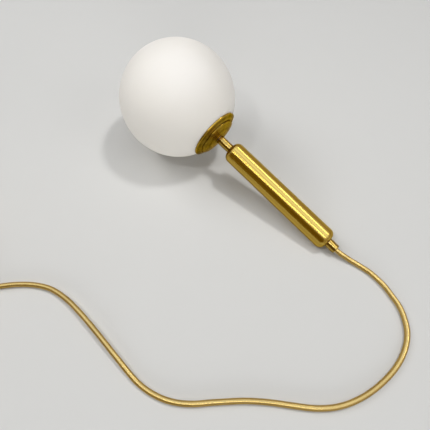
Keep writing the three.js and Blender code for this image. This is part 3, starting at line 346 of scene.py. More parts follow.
class Surface(Graph):
    """A material's tree, which can hold the shared effects."""

    def __init__(self, tree: Tree, effects: Effects) -> None:
        """Wrap a material's tree.

        Args:
            tree: The tree.
            effects: The shared effects.
        """
        super().__init__(tree)
        self.effects = effects
        self.place = self.node("ShaderNodeTexCoord").outputs["Object"]

    def effect(self, effect: Effect, feeds: Feeds) -> Sockets:
        """Place an effect and return its named outputs."""
        return self.node("ShaderNodeGroup", feeds, node_tree=self.effects.group(effect)).outputs

    def clouds(self, scale: float) -> Socket:
        """Return the mask of the clouds that wiping and touching leave."""
        return self.effect(Effect.HANDLING, {"Position": self.place, "Scale": scale})["Mask"]

    def wear(self) -> Socket:
        """Return the mask of the worn edges."""
        pointed = self.node("ShaderNodeNewGeometry").outputs["Pointiness"]
        return self.effect(Effect.EDGE_WEAR, {"Position": self.place, "Pointiness": pointed})["Mask"]

    def tooth(self, scale: float) -> Sockets:
        """Return the height and the tone of a fine tooth."""
        return self.effect(Effect.SPECKLE, {"Position": self.place, "Scale": scale})

    def toned(self, mask: object, share: float, first: object, second: object) -> Socket:
        """Mix two colours by a share of a mask and return the result."""
        return self.tint(self.math("MULTIPLY", mask, share), first, second)

    def laid(self) -> Sockets:
        """Return the parts of the place in the UV map."""
        return self.parts(self.node("ShaderNodeUVMap", uv_map="UVMap").outputs[0])


# Finishes


@dataclass(frozen=True)
class Finish:
    """The look of one material: its name, colour and roughness, and the tone that varies the colour."""

    name: str
    colour: Colour
    roughness: float
    shade: Colour = (0.5, 0.5, 0.48)

    def sockets(self, surface: Surface) -> Feeds:
        """Return the Principled shader's plain inputs."""
        return {"Base Color": self.colour, "Roughness": self.roughness}


@dataclass(frozen=True)
class OpalGlass(Finish):
    """Cased white glass with a satin outside."""

    cloud_scale: float = 9.0
    cloud_share: float = 0.12
    rougher: float = 0.05
    glow: float = 0.35
    glow_colours: Colour = (1.0, 0.97, 0.93)
    glow_depth: float = 5 * MM
    refraction: float = 1.5
    wave_scale: float = 14.0
    tooth_scale: float = 700.0
    tooth_share: float = 0.02
    relief: float = 0.05
    relief_depth: float = 0.6 * MM

    def sockets(self, surface: Surface) -> Feeds:
        """Work out the inputs of the opal glass.

        Args:
            surface: The material's tree.

        Returns:
            A constant or an output for each named input.
        """
        cloud = surface.clouds(self.cloud_scale)
        waves = surface.noise(surface.place, self.wave_scale, detail=1.0)
        tooth = surface.tooth(self.tooth_scale)["Height"]
        height = surface.math("MULTIPLY_ADD", tooth, self.tooth_share, waves)
        return {
            "Base Color": surface.toned(cloud, self.cloud_share, self.colour, self.shade),
            "Roughness": surface.mix(cloud, self.roughness, self.roughness + self.rougher),
            "Subsurface Weight": self.glow,
            "Subsurface Radius": self.glow_colours,
            "Subsurface Scale": self.glow_depth,
            "IOR": self.refraction,
            "Normal": surface.bump(height, self.relief, self.relief_depth),
        }


@dataclass(frozen=True)
class TurnedBrass(Finish):
    """Brass with the fine rings of a lathe and painted reflection streaks that cross them."""

    shade: Colour = (0.34, 0.19, 0.018)
    tone_share: float = 0.1
    painted_streak_share: float = 0.45
    painted_streaks_around: float = 6.0
    centre: Triple = ORIGIN
    axis: Triple = UP
    rings: float = 3200.0
    ring_roughness: float = 0.03
    relief: float = 0.05
    relief_depth: float = 0.2 * MM
    stretch: float = 0.8
    quarter_turn: float = 0.25
    grazing: Colour = (0.85, 0.7, 0.4)
    touch_scale: float = 34.0
    wiped: float = 0.92
    touched: float = 1.12
    worn_share: float = 0.5
    worn_gain: float = 1.18

    def sockets(self, surface: Surface) -> Feeds:
        """Work out the inputs of the turned brass.

        Args:
            surface: The material's tree.

        Returns:
            A constant or an output for each named input.
        """
        turned = surface.effect(Effect.TURNED_GRAIN, {
            "Position": surface.place,
            "Centre": self.centre,
            "Axis": self.axis,
            "Rings per metre": self.rings,
            "Painted streaks around": self.painted_streaks_around,
        })
        ringed = surface.math("MULTIPLY", turned["Tone"], self.tone_share)
        # The ring tone is lathe grain; the streak mask on top darkens the colour in painted reflection streaks.
        rings_and_painted_streaks = surface.math("MULTIPLY_ADD", turned["Mark"], self.painted_streak_share, ringed)
        bright = tuple(min(1.0, part * self.worn_gain) for part in self.colour)
        toned = surface.tint(rings_and_painted_streaks, self.colour, self.shade)
        touch = surface.clouds(self.touch_scale)
        rough = surface.mix(touch, self.roughness * self.wiped, self.roughness * self.touched)
        return {
            "Base Color": surface.toned(surface.wear(), self.worn_share, toned, bright),
            "Metallic": 1.0,
            "Roughness": surface.math("MULTIPLY_ADD", turned["Tone"], self.ring_roughness, rough),
            "Specular Tint": self.grazing,
            "Anisotropic": self.stretch,
            "Anisotropic Rotation": self.quarter_turn,
            "Tangent": surface.node("ShaderNodeTangent", direction_type="UV_MAP").outputs[0],
            "Normal": surface.bump(turned["Height"], self.relief, self.relief_depth),
        }


@dataclass(frozen=True)
class Toothed(Finish):
    """A plain body with a fine tooth, rougher where it has been touched."""

    tooth_scale: float = 900.0
    tone_share: float = 0.18
    touch_scale: float = 45.0
    rougher: float = 0.1
    relief: float = 0.15
    relief_depth: float = 0.1 * MM

    def sockets(self, surface: Surface) -> Feeds:
        """Work out the inputs of the plain body.

        Args:
            surface: The material's tree.

        Returns:
            A constant or an output for each named input.
        """
        tooth = surface.tooth(self.tooth_scale)
        touch = surface.clouds(self.touch_scale)
        return {
            "Base Color": surface.toned(tooth["Tone"], self.tone_share, self.colour, self.shade),
            "Roughness": surface.mix(touch, self.roughness, self.roughness + self.rougher),
            "Normal": surface.bump(tooth["Height"], self.relief, self.relief_depth),
        }


@dataclass(frozen=True)
class PlatedSteel(Toothed):
    """Zinc-plated steel with a cloudy bloom."""

    shade: Colour = (0.36, 0.37, 0.38)
    worn: Colour = (0.8, 0.8, 0.8)
    tooth_scale: float = 1400.0
    tone_share: float = 0.3
    touch_scale: float = 60.0
    rougher: float = 0.12
    relief: float = 0.12

    def sockets(self, surface: Surface) -> Feeds:
        """Return the inputs of the toothed body, as metal with worn edges."""
        found = super().sockets(surface)
        return found | {
            "Base Color": surface.tint(surface.wear(), found["Base Color"], self.worn),
            "Metallic": 1.0,
        }


@dataclass(frozen=True)
class Moulded(Toothed):
    """Ceramic, nylon, silicone or wire insulation, through which a little light passes."""

    clearness: float = 0.0
    clear_depth: float = 1 * MM

    def sockets(self, surface: Surface) -> Feeds:
        """Return the inputs of the toothed body, with the light that passes through it."""
        return super().sockets(surface) | {
            "Subsurface Weight": self.clearness,
            "Subsurface Scale": self.clear_depth,
        }


@dataclass(frozen=True)
class StripedCore(Moulded):
    """Wire insulation with a stripe of a second colour."""

    stripe: Colour = (0.75, 0.62, 0.08)
    stripes: float = 2200.0

    def sockets(self, surface: Surface) -> Feeds:
        """Work out the inputs of the striped insulation.

        Args:
            surface: The material's tree.

        Returns:
            A constant or an output for each named input.
        """
        found = super().sockets(surface)
        bands = surface.math("SINE", surface.math("MULTIPLY", surface.parts(surface.place)[2], self.stripes))
        striped = surface.span(bands, low=0.1, high=0.3)
        return found | {"Base Color": surface.tint(striped, found["Base Color"], self.stripe)}


@dataclass(frozen=True)
class WovenCover(Finish):
    """A satin textile braid around a cord, laid out by its UV map: turns around, metres along."""

    shade: Colour = (0.11, 0.05, 0.006)
    bright: Colour = (0.95, 0.82, 0.38)
    grazing: Colour = (0.5, 0.28, 0.09)
    threads: float = 24.0
    crossings: float = 900.0
    bright_share: float = 0.5
    gap_shade_share: float = 0.5
    faded_share: float = 0.15
    fading_scale: float = 26.0
    thread_metal: float = 0.9
    gap_metal: float = 0.6
    gap_roughness: float = 0.7
    sheen: float = 0.02
    sheen_roughness: float = 0.4
    relief: float = 0.06
    relief_depth: float = 0.2 * MM

    def sockets(self, surface: Surface) -> Feeds:
        """Work out the inputs of the woven cover.

        Args:
            surface: The material's tree.

        Returns:
            A constant or an output for each named input.
        """
        around, along, _ = surface.laid()
        braid = surface.effect(Effect.BRAID, {
            "Around": around,
            "Along": along,
            "Threads": self.threads,
            "Crossings per metre": self.crossings,
        })
        lit = surface.toned(braid["Tone"], self.bright_share, self.colour, self.bright)
        faded = surface.toned(surface.clouds(self.fading_scale), self.faded_share, lit, self.shade)
        gap = braid["Gap"]
        return {
            # Painted shade: the colour darkens towards the shade colour in the gaps between threads.
            "Base Color": surface.toned(gap, self.gap_shade_share, faded, self.shade),
            "Metallic": surface.mix(gap, self.thread_metal, self.gap_metal),
            "Roughness": surface.mix(gap, self.roughness, self.gap_roughness),
            "Specular Tint": self.grazing,
            "Sheen Weight": self.sheen,
            "Sheen Roughness": self.sheen_roughness,
            "Normal": surface.bump(braid["Height"], self.relief, self.relief_depth),
        }


@dataclass(frozen=True)
class WovenStrap(Finish):
    """A flat woven nylon tie, laid out by its UV map: its width across, metres along."""

    shade: Colour = (0.42, 0.4, 0.35)
    ribs: float = 1700.0
    warps: float = 13.0
    warp_share: float = 0.5
    trough_shade_share: float = 0.55
    fuzz_scale: float = 1500.0
    fuzz_share: float = 0.6
    fuzz_roughness: float = 0.95
    sheen: float = 0.25
    relief: float = 0.5
    relief_depth: float = 0.2 * MM

    def sockets(self, surface: Surface) -> Feeds:
        """Work out the inputs of the strap.

        Args:
            surface: The material's tree.

        Returns:
            A constant or an output for each named input.
        """
        across, along, _ = surface.laid()
        weft = surface.math("SINE", surface.math("MULTIPLY", along, self.ribs * math.tau))
        warp = surface.math("SINE", surface.math("MULTIPLY", across, self.warps * math.tau))
        height = surface.math("MULTIPLY_ADD", warp, self.warp_share, weft)
        # Painted shade: the colour darkens in the low troughs of the weave.
        trough_shade = surface.span(height, low=-1.2, high=0.4, at_low=1.0, at_high=0.0)
        fuzz = surface.tooth(self.fuzz_scale)
        raised = surface.math("MULTIPLY_ADD", fuzz["Height"], self.fuzz_share, height)
        return {
            "Base Color": surface.toned(trough_shade, self.trough_shade_share, self.colour, self.shade),
            "Roughness": surface.mix(fuzz["Tone"], self.roughness, self.fuzz_roughness),
            "Sheen Weight": self.sheen,
            "Normal": surface.bump(raised, self.relief, self.relief_depth),
        }


@dataclass(frozen=True)
class TableTop(Finish):
    """The pale matt surface under the lamp, which fades into the backdrop far from it."""

    shade: Colour = (0.61, 0.61, 0.59)
    tooth_scale: float = 260.0
    tone_share: float = 0.04
    gloss: float = 0.15
    fade_from: float = 800 * MM
    fade_to: float = 1300 * MM

    def sockets(self, surface: Surface) -> Feeds:
        """Work out the inputs of the table.

        Args:
            surface: The material's tree.

        Returns:
            A constant or an output for each named input.
        """
        tone = surface.tooth(self.tooth_scale)["Tone"]
        away = surface.vector("LENGTH", surface.place)
        return super().sockets(surface) | {
            "Base Color": surface.toned(tone, self.tone_share, self.colour, self.shade),
            "Specular IOR Level": self.gloss,
            "Alpha": surface.span(away, self.fade_from, self.fade_to, at_low=1.0, at_high=0.0),
        }


class Shelf:
    """The finished materials, each made once."""

    def __init__(self) -> None:
        """Start with an empty shelf."""
        self.effects = Effects()
        self.made: dict[str, Material] = {}

    def material(self, finish: Finish) -> Material:
        """Return the material of a finish.

        Args:
            finish: The look that is asked for.

        Returns:
            Its material, built on the first call.
        """
        if finish.name not in self.made:
            made = bpy.data.materials.new(finish.name)
            made.use_nodes = True
            made.node_tree.nodes.clear()
            surface = Surface(made.node_tree, self.effects)
            shader = surface.node("ShaderNodeBsdfPrincipled", finish.sockets(surface))
            surface.node("ShaderNodeOutputMaterial", {"Surface": shader.outputs[0]})
            self.made[finish.name] = made
        return self.made[finish.name]

    def dress(self, piece: Piece, finish: Finish) -> None:
        """Give a piece its only material."""
        piece.data.materials.clear()
        piece.data.materials.append(self.material(finish))


# Shapes


def lengths_along(points: Sequence[Sequence[float]]) -> list[float]:
    """Measure a line from its first point to each of its points.

    Args:
        points: The points.

    Returns:
        The length up to each point.
    """
    lengths = [0.0]
    for before, after in zip(points, points[1:]):
        lengths.append(lengths[-1] + math.dist(before, after))
    return lengths


def arc(centre: Pair, radius: float, start: float, end: float, steps: int) -> list[Pair]:
    """Trace an arc in an outline.

    Args:
        centre: Radius and height of its centre.
        radius: Its radius.
        start: First angle, in radians from the radius towards the height.
        end: Last angle.
        steps: How many pieces it has.

    Returns:
        Its points.
    """
    points = []
    for step in range(steps + 1):
        angle = start + (end - start) * step / steps
        points.append((centre[0] + radius * math.cos(angle), centre[1] + radius * math.sin(angle)))
    return points


def rounded(corners: Sequence[Triple], closed: bool = True, steps: int = 5) -> list[Pair]:
    """Round the corners of an outline.

    Args:
        corners: Radius, height and rounding of each corner.
        closed: Whether the outline closes on its first corner.
        steps: How many pieces each rounding has.

    Returns:
        The rounded outline.
    """
    outline: list[Pair] = []
    count = len(corners)
    for place, (radius, height, rounding) in enumerate(corners):
        if rounding <= 0.0 or (not closed and place in (0, count - 1)):
            outline.append((radius, height))
            continue
        here = Vector((radius, height))
        back = (Vector(corners[place - 1][:2]) - here).normalized()
        ahead = (Vector(corners[(place + 1) % count][:2]) - here).normalized()
        half = back.angle(ahead) / 2.0
        centre = here + (back + ahead).normalized() * (rounding / math.sin(half))
        first = here + back * (rounding / math.tan(half)) - centre
        last = here + ahead * (rounding / math.tan(half)) - centre
        start = math.atan2(first.y, first.x)
        sweep = (math.atan2(last.y, last.x) - start + math.pi) % math.tau - math.pi
        outline.extend(arc((centre.x, centre.y), rounding, start, start + sweep, steps))
    return outline


def new_piece(
    name: str,
    vertices: Sequence[Vector],
    faces: Sequence[Sequence[int]],
    uvs: Sequence[Sequence[Pair]],
    crease: float = SMOOTH_BELOW,
) -> Piece:
    """Make an object from its corners and faces.

    Args:
        name: The piece's name.
        vertices: Its corners.
        faces: The corners of each face.
        uvs: A place in the UV map for each corner of each face.
        crease: Angle in degrees above which an edge stays sharp.

    Returns:
        The object, linked to the scene and smoothly shaded.
    """
    mesh = bpy.data.meshes.new(name)
    mesh.from_pydata([tuple(vertex) for vertex in vertices], [], [tuple(face) for face in faces])
    layer = mesh.uv_layers.new(name="UVMap")
    layer.data.foreach_set("uv", [part for face in uvs for pair in face for part in pair])
    body = bmesh.new()
    body.from_mesh(mesh)
    bmesh.ops.recalc_face_normals(body, faces=body.faces)
    body.to_mesh(mesh)
    body.free()
    mesh.polygons.foreach_set("use_smooth", [True] * len(mesh.polygons))
    mesh.set_sharp_from_angle(angle=math.radians(crease))
    mesh.update()
    piece = bpy.data.objects.new(name, mesh)
    bpy.context.scene.collection.objects.link(piece)
    return piece


def skinned(
    name: str,
    rings: Sequence[Sequence[Vector]],
    along: Sequence[float],
    around: Sequence[float],
    capped: bool = False,
    crease: float = SMOOTH_BELOW,
) -> Piece:
    """Join rings of points into one surface.

    Args:
        name: The piece's name.
        rings: The points of each ring, or a single point where the surface closes on its axis.
        along: Place of each ring along the UV map, and one more where the last ring joins the first.
        around: Place around the UV map where each side starts, and one more where the last ends.
        capped: Whether a flat face closes each end.
        crease: Angle in degrees above which an edge stays sharp.

    Returns:
        The piece.
    """
    sides = len(around) - 1
    starts = [0]
    for ring in rings:
        starts.append(starts[-1] + len(ring))

    def corner(row: int, side: int) -> tuple[int, Pair]:
        """Return a corner and its place in the UV map."""
        at = row % len(rings)
        return starts[at] + side % len(rings[at]), (around[side], along[row])

    outlines = []
    for row in range(len(along) - 1):
        for side in range(sides):
            square = [
                corner(row, side), corner(row, side + 1),
                corner(row + 1, side + 1), corner(row + 1, side),
            ]
            outlines.append([part for at, part in enumerate(square) if part[0] != square[at - 1][0]])
    if capped:
        outlines.extend([corner(row, side) for side in range(sides)] for row in (0, len(rings) - 1))
    kept = [outline for outline in outlines if len(outline) > 2]
    faces = [[part[0] for part in outline] for outline in kept]
    uvs = [[part[1] for part in outline] for outline in kept]
    return new_piece(name, [point for ring in rings for point in ring], faces, uvs, crease)


def even_shares(sides: int) -> list[float]:
    """Return the shares of a whole turn at which its sides start and end."""
    return [side / sides for side in range(sides + 1)]


def on_circle(share: float, radius: float, height: float) -> Vector:
    """Return the point of a circle around an axis at a share of its turn."""
    return Vector((radius * math.cos(math.tau * share), radius * math.sin(math.tau * share), height))


def turned(
    name: str, outline: Sequence[Pair], place: Matrix, closed: bool = True, sides: int = 128,
) -> Piece:
    """Turn an outline about an axis, as a lathe does.

    Args:
        name: The piece's name.
        outline: Radius and height of its points.
        place: Where the axis stands.
        closed: Whether the outline is a ring, or else runs from axis to axis.
        sides: How many sides the piece has around.

    Returns:
        The piece.
    """
    around = even_shares(sides)
    rings = []
    for radius, height in outline:
        met = around[:-1] if radius > SAME_POINT else around[:1]
        rings.append([place @ on_circle(share, radius, height) for share in met])
    along = lengths_along([*outline, outline[0]] if closed else outline)
    return skinned(name, rings, along, around)


@dataclass(frozen=True)
class Thread:
    """The screw thread of a rod, or of a tube where it has a bore."""

    radius: float
    pitch: float
    low: float
    high: float
    bore: float = 0.0
    depth_share: float = 0.58
    core_share: float = 0.02
    steps: int = 6
    sides: int = 36
    crease: float = 60.0

    def cut(self, name: str, place: Matrix) -> Piece:
        """Cut the thread.

        Args:
            name: The piece's name.
            place: Where its axis stands.

        Returns:
            The piece.
        """
        step = self.pitch / self.steps
        rows = max(2, math.ceil((self.high - self.low) / step))
        around = even_shares(self.sides)
        rings = []
        for row in range(rows + 1):
            height = self.low + (self.high - self.low) * row / rows
            runout = 2.0 * min(height - self.low, self.high - height) / self.pitch
            ring = []
            for share in around[:-1]:
                phase = (height / self.pitch - share) % 1.0
                depth = self.pitch * self.depth_share * max(abs(2.0 * phase - 1.0), 1.0 - min(1.0, runout))
                ring.append(place @ on_circle(share, self.radius - depth, height))
            rings.append(ring)
        core = self.bore if self.bore > 0.0 else self.radius * self.core_share
        for height in (self.high, self.low):
            rings.append([place @ on_circle(share, core, height) for share in around[:-1]])
        along = [row * step for row in range(len(rings) + 1)]
        return skinned(name, rings, along, around, crease=self.crease)


def swept(name: str, line: Sequence[Vector], radius: float, sides: int) -> Piece:
    """Sweep a round section along a line, with flat ends.

    Args:
        name: The piece's name.
        line: The points of its centre line.
        radius: Its radius.
        sides: How many sides it has around.

    Returns:
        The piece. Its UV map holds turns around and metres along.
    """
    ways = []
    for at in range(len(line)):
        ways.append((line[min(at + 1, len(line) - 1)] - line[max(at - 1, 0)]).normalized())
    around = even_shares(sides)
    normal = ways[0].orthogonal().normalized()
    rings = []
    for at, (point, way) in enumerate(zip(line, ways)):
        if at:
            normal = (ways[at - 1].rotation_difference(way) @ normal).normalized()
        turn = Matrix((normal, way.cross(normal), way)).transposed()
        rings.append([point + turn @ on_circle(share, radius, 0.0) for share in around[:-1]])
    return skinned(name, rings, lengths_along(line), around, capped=True)


def drill(piece: Piece, start: Vector, end: Vector, radius: float, sides: int = 32) -> None:
    """Drill a round hole in a piece.

    Args:
        piece: The piece.
        start: One end of the drill.
        end: Its other end.
        radius: The hole's radius.
        sides: How many sides the hole has.
    """
    tool = swept("drill", [start, start.lerp(end, 0.5), end], radius, sides)
    cut = piece.modifiers.new("hole", "BOOLEAN")
    cut.operation = "DIFFERENCE"
    cut.solver = "EXACT"
    cut.object = tool
    bpy.context.view_layer.update()
    shaped = piece.evaluated_get(bpy.context.evaluated_depsgraph_get())
    mesh = bpy.data.meshes.new_from_object(shaped)
    mesh.name = piece.name
    piece.modifiers.clear()
    piece.data = mesh
    bpy.data.objects.remove(tool)


# Sizes


@dataclass(frozen=True)
class LampSizes:
    """Sizes of the lamp, with the heights that follow from them along its axis."""

    gap: float = 0.3 * MM
    globe: float = 75 * MM
    glass: float = 2.2 * MM
    neck: float = 22 * MM
    neck_depth: float = 9 * MM
    gasket: float = 1 * MM
    gasket_width: float = 2.6 * MM
    plate: float = 34.5 * MM
    plate_thickness: float = 2 * MM
    plate_web: float = 1.6 * MM
    groove: float = 0.9 * MM
    groove_land: float = 0.1 * MM
    groove_depth: float = 0.8 * MM
    cap: float = 26.6 * MM
    cap_rim: float = 1 * MM
    cap_rise: float = 4.1 * MM
    cap_wall: float = 0.8 * MM
    cap_land: float = 6.8 * MM
    rod: float = 5.3 * MM
    stem: float = 5.75 * MM
    stem_length: float = 19.2 * MM
    body: float = 14 * MM
    body_length: float = 168 * MM
    body_wall: float = 1.2 * MM
    body_end: float = 2 * MM
    shoulder: float = 8 * MM
    gland: float = 5.9 * MM
    gland_length: float = 13 * MM
    gland_mouth: float = 2 * MM
    gland_seat: float = 6.3 * MM
    cord: float = 3.1 * MM
    cord_play: float = 0.3 * MM
    sleeve: float = 1 * MM
    set_screw: float = 1.5 * MM

    @property
    def lip_angle(self) -> float:
        """Angle between the axis and the centre of the glass lip."""
        return math.asin((self.neck + self.glass) / (self.globe - self.glass))

    @property
    def lip(self) -> Pair:
        """Radius and height of the centre of the glass lip."""
        reach = self.globe - self.glass
        return reach * math.sin(self.lip_angle), reach * math.cos(self.lip_angle)

    @property
    def web(self) -> Pair:
        """Lower and upper height of the plate's flat web."""
        low = self.lip[1] + self.glass + self.gap + self.gasket + self.gap
        return low, low + self.plate_web

    @property
    def plate_inner(self) -> float:
        """Radius of the plate's dished underside."""
        return self.globe + self.gap

    @property
    def plate_outer(self) -> float:
        """Radius of the plate's dished top."""
        return self.plate_inner + self.plate_thickness

    @property
    def cap_low(self) -> float:
        """Height of the cap's lower edge."""
        return math.sqrt(self.plate_outer**2 - self.cap**2) + self.gap

    @property
    def cap_curve(self) -> float:
        """Radius of the cap's dome."""
        return (self.cap**2 + self.cap_rise**2) / (2.0 * self.cap_rise)

    @property
    def cap_centre(self) -> float:
        """Height of the centre of the cap's dome."""
        return self.cap_low + self.cap_rim + self.cap_rise - self.cap_curve

    @property
    def cap_top(self) -> float:
        """Height of the cap's flat land."""
        return self.cap_centre + math.sqrt(self.cap_curve**2 - self.cap_land**2)

    @property
    def stem_low(self) -> float:
        """Height of the stem's lower end."""
        return self.cap_top + self.gap

    @property
    def stem_high(self) -> float:
        """Height of the stem's upper end."""
        return self.stem_low + self.stem_length

    @property
    def body_low(self) -> float:
        """Height of the tube's lower end."""
        return self.stem_high + self.gap

    @property
    def body_high(self) -> float:
        """Height of the tube's upper end."""
        return self.body_low + self.body_length

    @property
    def gland_low(self) -> float:
        """Height of the cord grip's lower end."""
        return self.body_high + self.gap

    @property
    def gland_high(self) -> float:
        """Height of the cord grip's mouth."""
        return self.gland_low + self.gland_length

    @property
    def tilt(self) -> float:
        """Angle of the axis below the horizontal, as the lamp lies on its globe and its far shoulder."""
        height, reach = self.body_high - self.shoulder, self.body - self.shoulder
        return math.asin((self.globe - self.shoulder) / math.hypot(height, reach)) - math.atan2(reach, height)

    @property
    def origin(self) -> Vector:
        """Centre of the globe."""
        reach = self.gland_high * math.cos(self.tilt) + self.gland * math.sin(self.tilt)
        return Vector(((self.globe - reach) / 2.0, 0.0, self.globe))

    @property
    def place(self) -> Matrix:
        """Where the lamp's axis stands."""
        return Matrix.Translation(self.origin) @ Matrix.Rotation(math.pi / 2.0 + self.tilt, 4, "Y")

    @property
    def axis(self) -> Vector:
        """Direction of the axis, from the globe to the cord grip."""
        return self.place.to_3x3() @ Vector(UP)

    def on_axis(self, height: float) -> Vector:
        """Return the point of the axis at a height."""
        return self.place @ Vector((0.0, 0.0, height))


LAMP = LampSizes()


@dataclass(frozen=True)
class RoseSizes:
    """Sizes of the ceiling rose, which stands on its edge."""

    place_at: Triple = (-231.4 * MM, -340.5 * MM, 50 * MM)
    radius: float = 50 * MM
    height: float = 24 * MM
    wall: float = 1 * MM
    edge: float = 5 * MM
    rim: float = 0.2 * MM
    stud: float = 1.9 * MM
    stud_pitch: float = 0.7 * MM
    stud_reach: float = 33 * MM
    stud_high: float = 28 * MM
    nut: float = 4.5 * MM
    nut_skirt: float = 2 * MM
    nut_height: float = 7 * MM
    nut_bore: float = 4.8 * MM
    nut_edge: float = 0.3 * MM
    nipple_pitch: float = 1 * MM
    nipple_length: float = 13 * MM
    nipple_engaged: float = 6 * MM
    nipple_bore: float = 3.8 * MM

    @property
    def place(self) -> Matrix:
        """Where the rose's axis stands."""
        return Matrix.Translation(self.place_at) @ Matrix.Rotation(math.pi / 2.0, 4, "Y")

    @property
    def grip_low(self) -> float:
        """Height of the rose's cord grip above its ceiling side."""
        return self.height + LAMP.gap

    def beside(self, side: Side) -> Matrix:
        """Return where the axis of the stud on one side stands."""
        return self.place @ Matrix.Translation((side.value * self.stud_reach, 0.0, 0.0))


ROSE = RoseSizes()


@dataclass(frozen=True)
class CoilSizes:
    """The two-layer coil."""

    centre: Pair = (-97.7 * MM, -379 * MM)
    outer: float = 38.5 * MM
    pitch: float = 6.9 * MM
    rise: float = 6.8 * MM
    bottom: float = 1.1 * MM
    start: float = math.radians(140.6)
    sweep: float = math.radians(1029.4)

    @property
    def inner(self) -> float:
        """Smallest radius of the coil's centre line."""
        return self.outer - self.pitch * self.sweep / (2.0 * math.tau)

    def point(self, share: float) -> Vector:
        """Find the centre line at a share of its sweep.

        Args:
            share: The share, from 0 to 1.

        Returns:
            The point.
        """
        from_middle = (share - 0.5) * self.sweep
        radius = self.inner + self.pitch * abs(from_middle) / math.tau
        ease = min(1.0, max(0.0, from_middle / math.pi + 0.5))
        climbed = ease * ease * (3.0 - 2.0 * ease)
        height = self.bottom + LAMP.cord + self.rise * climbed
        turn = (self.start + share * self.sweep) / math.tau
        return Vector((*self.centre, 0.0)) + on_circle(turn, radius, height)


COIL = CoilSizes()

# The cord's free run, in millimetres
RUN_ROUTE: tuple[Triple, ...] = (
    (182.0, 0.6, 6.9), (192.0, 2.6, 4.6), (205.6, 5.0, 3.2), (217.5, 6.2, 3.2), (229.2, 5.4, 3.2),
    (241.5, 3.2, 3.2), (252.9, -0.8, 3.2), (264.0, -5.0, 3.2), (274.0, -11.2, 3.2), (288.2, -25.8, 3.2),
    (296.0, -44.0, 3.2), (298.8, -67.1, 3.2), (295.6, -94.5, 3.2), (288.0, -119.6, 3.2), (275.9, -141.5, 3.2),
    (260.0, -158.6, 3.2), (240.5, -173.4, 3.2), (222.3, -186.7, 3.2), (203.1, -202.9, 3.2),
    (181.4, -225.2, 3.2), (165.2, -242.6, 3.2), (152.0, -253.2, 3.2), (138.5, -260.4, 3.2),
    (123.2, -265.3, 3.2), (108.4, -267.4, 3.5), (92.8, -267.2, 4.5), (73.8, -266.2, 5.8), (46.6, -264.6, 7.0),
    (23.6, -263.6, 7.2), (2.8, -263.3, 6.6), (-14.7, -264.0, 5.6), (-30.4, -266.3, 4.6), (-43.0, -269.8, 3.8),
    (-54.4, -275.6, 3.3), (-67.2, -285.0, 3.2), (-79.0, -296.6, 3.2), (-92.0, -312.4, 3.2),
    (-107.6, -331.0, 3.4), (-121.2, -347.2, 4.1),
)

# Place along and height of the tail, in millimetres, in the upright plane of the rose's axis
TAIL_ROUTE: tuple[Pair, ...] = (
    (-98.2, 11.0), (-103.0, 11.3), (-108.4, 12.4), (-113.2, 14.1), (-117.9, 16.4), (-122.2, 19.3),
    (-126.2, 22.9), (-129.4, 26.6), (-132.2, 30.5), (-135.0, 34.6), (-138.3, 38.3), (-142.1, 41.8),
    (-146.5, 44.7), (-151.2, 47.0), (-156.1, 48.7), (-161.2, 49.7), (-166.6, 50.0), (-180.0, 50.0),
    (-193.0, 50.0), (-206.0, 50.0), (-219.4, 50.0),
)


# Finishes of this lamp

ON_LAMP = {"centre": tuple(LAMP.origin), "axis": tuple(LAMP.axis)}

OPAL = OpalGlass("opal_glass", (0.915, 0.875, 0.808), 0.5, shade=(0.87, 0.82, 0.74))
DISC_BRASS = TurnedBrass(
    "disc_brass", (0.56, 0.36, 0.045), 0.25, shade=(0.16, 0.09, 0.005), rings=1900.0, relief=0.6,
    tone_share=0.6, painted_streak_share=0.35, painted_streaks_around=3.0, stretch=0.95, **ON_LAMP,
)
SATIN = TurnedBrass(
    "satin_brass", (0.58, 0.41, 0.085), 0.19, relief=0.008, tone_share=0.03, painted_streak_share=0.6, painted_streaks_around=5.0,
    **ON_LAMP,
)
# Painted shade: the polished brass is darker than the satin brass because the stem and grips lie in the globe's
# shade.
POLISHED_SHADE_DARKENED = TurnedBrass(
    "polished_brass", (0.4, 0.285, 0.075), 0.1, relief=0.0, tone_share=0.0, painted_streak_share=0.6, painted_streaks_around=2.2,
    stretch=0.6, **ON_LAMP,
)
PLAIN_BRASS = TurnedBrass("plain_brass", (0.55, 0.4, 0.16), 0.36, relief=0.2, stretch=0.0, **ON_LAMP)
ROSE_SATIN = TurnedBrass(
    "rose_brass", (0.52, 0.345, 0.075), 0.17, centre=ROSE.place_at, axis=(1.0, 0.0, 0.0), relief=0.04,
    tone_share=0.2, painted_streak_share=0.2,
)
ZINC = PlatedSteel("zinc_steel", (0.6, 0.61, 0.62), 0.33)
BRONZE = PlatedSteel("spring_bronze", (0.6, 0.38, 0.2), 0.3, shade=(0.4, 0.22, 0.1))
GOLD_WEAVE = WovenCover("gold_textile", (0.46, 0.275, 0.04), 0.11)
SILICONE = Moulded("silicone", (0.78, 0.78, 0.75), 0.45, clearness=0.3)
NYLON = Moulded("white_nylon", (0.8, 0.79, 0.75), 0.42, clearness=0.1)
CERAMIC = Moulded("ceramic", (0.84, 0.82, 0.77), 0.4, relief=0.3, tooth_scale=500.0)
COVER = Moulded("frosted_cover", (0.86, 0.86, 0.82), 0.5, clearness=0.4)
BOARD = Moulded("board_white", (0.8, 0.8, 0.72), 0.45)
BROWN = Moulded("brown_core", (0.16, 0.07, 0.03), 0.4, shade=(0.1, 0.05, 0.02))
BLUE = Moulded("blue_core", (0.03, 0.1, 0.35), 0.4, shade=(0.02, 0.06, 0.2))
GREEN = StripedCore("green_yellow_core", (0.1, 0.38, 0.08), 0.4, shade=(0.08, 0.25, 0.05))
STRAP = WovenStrap("strap_weave", (0.66, 0.62, 0.52), 0.7)
TABLE = TableTop("table_top", (0.665, 0.663, 0.647), 0.8)

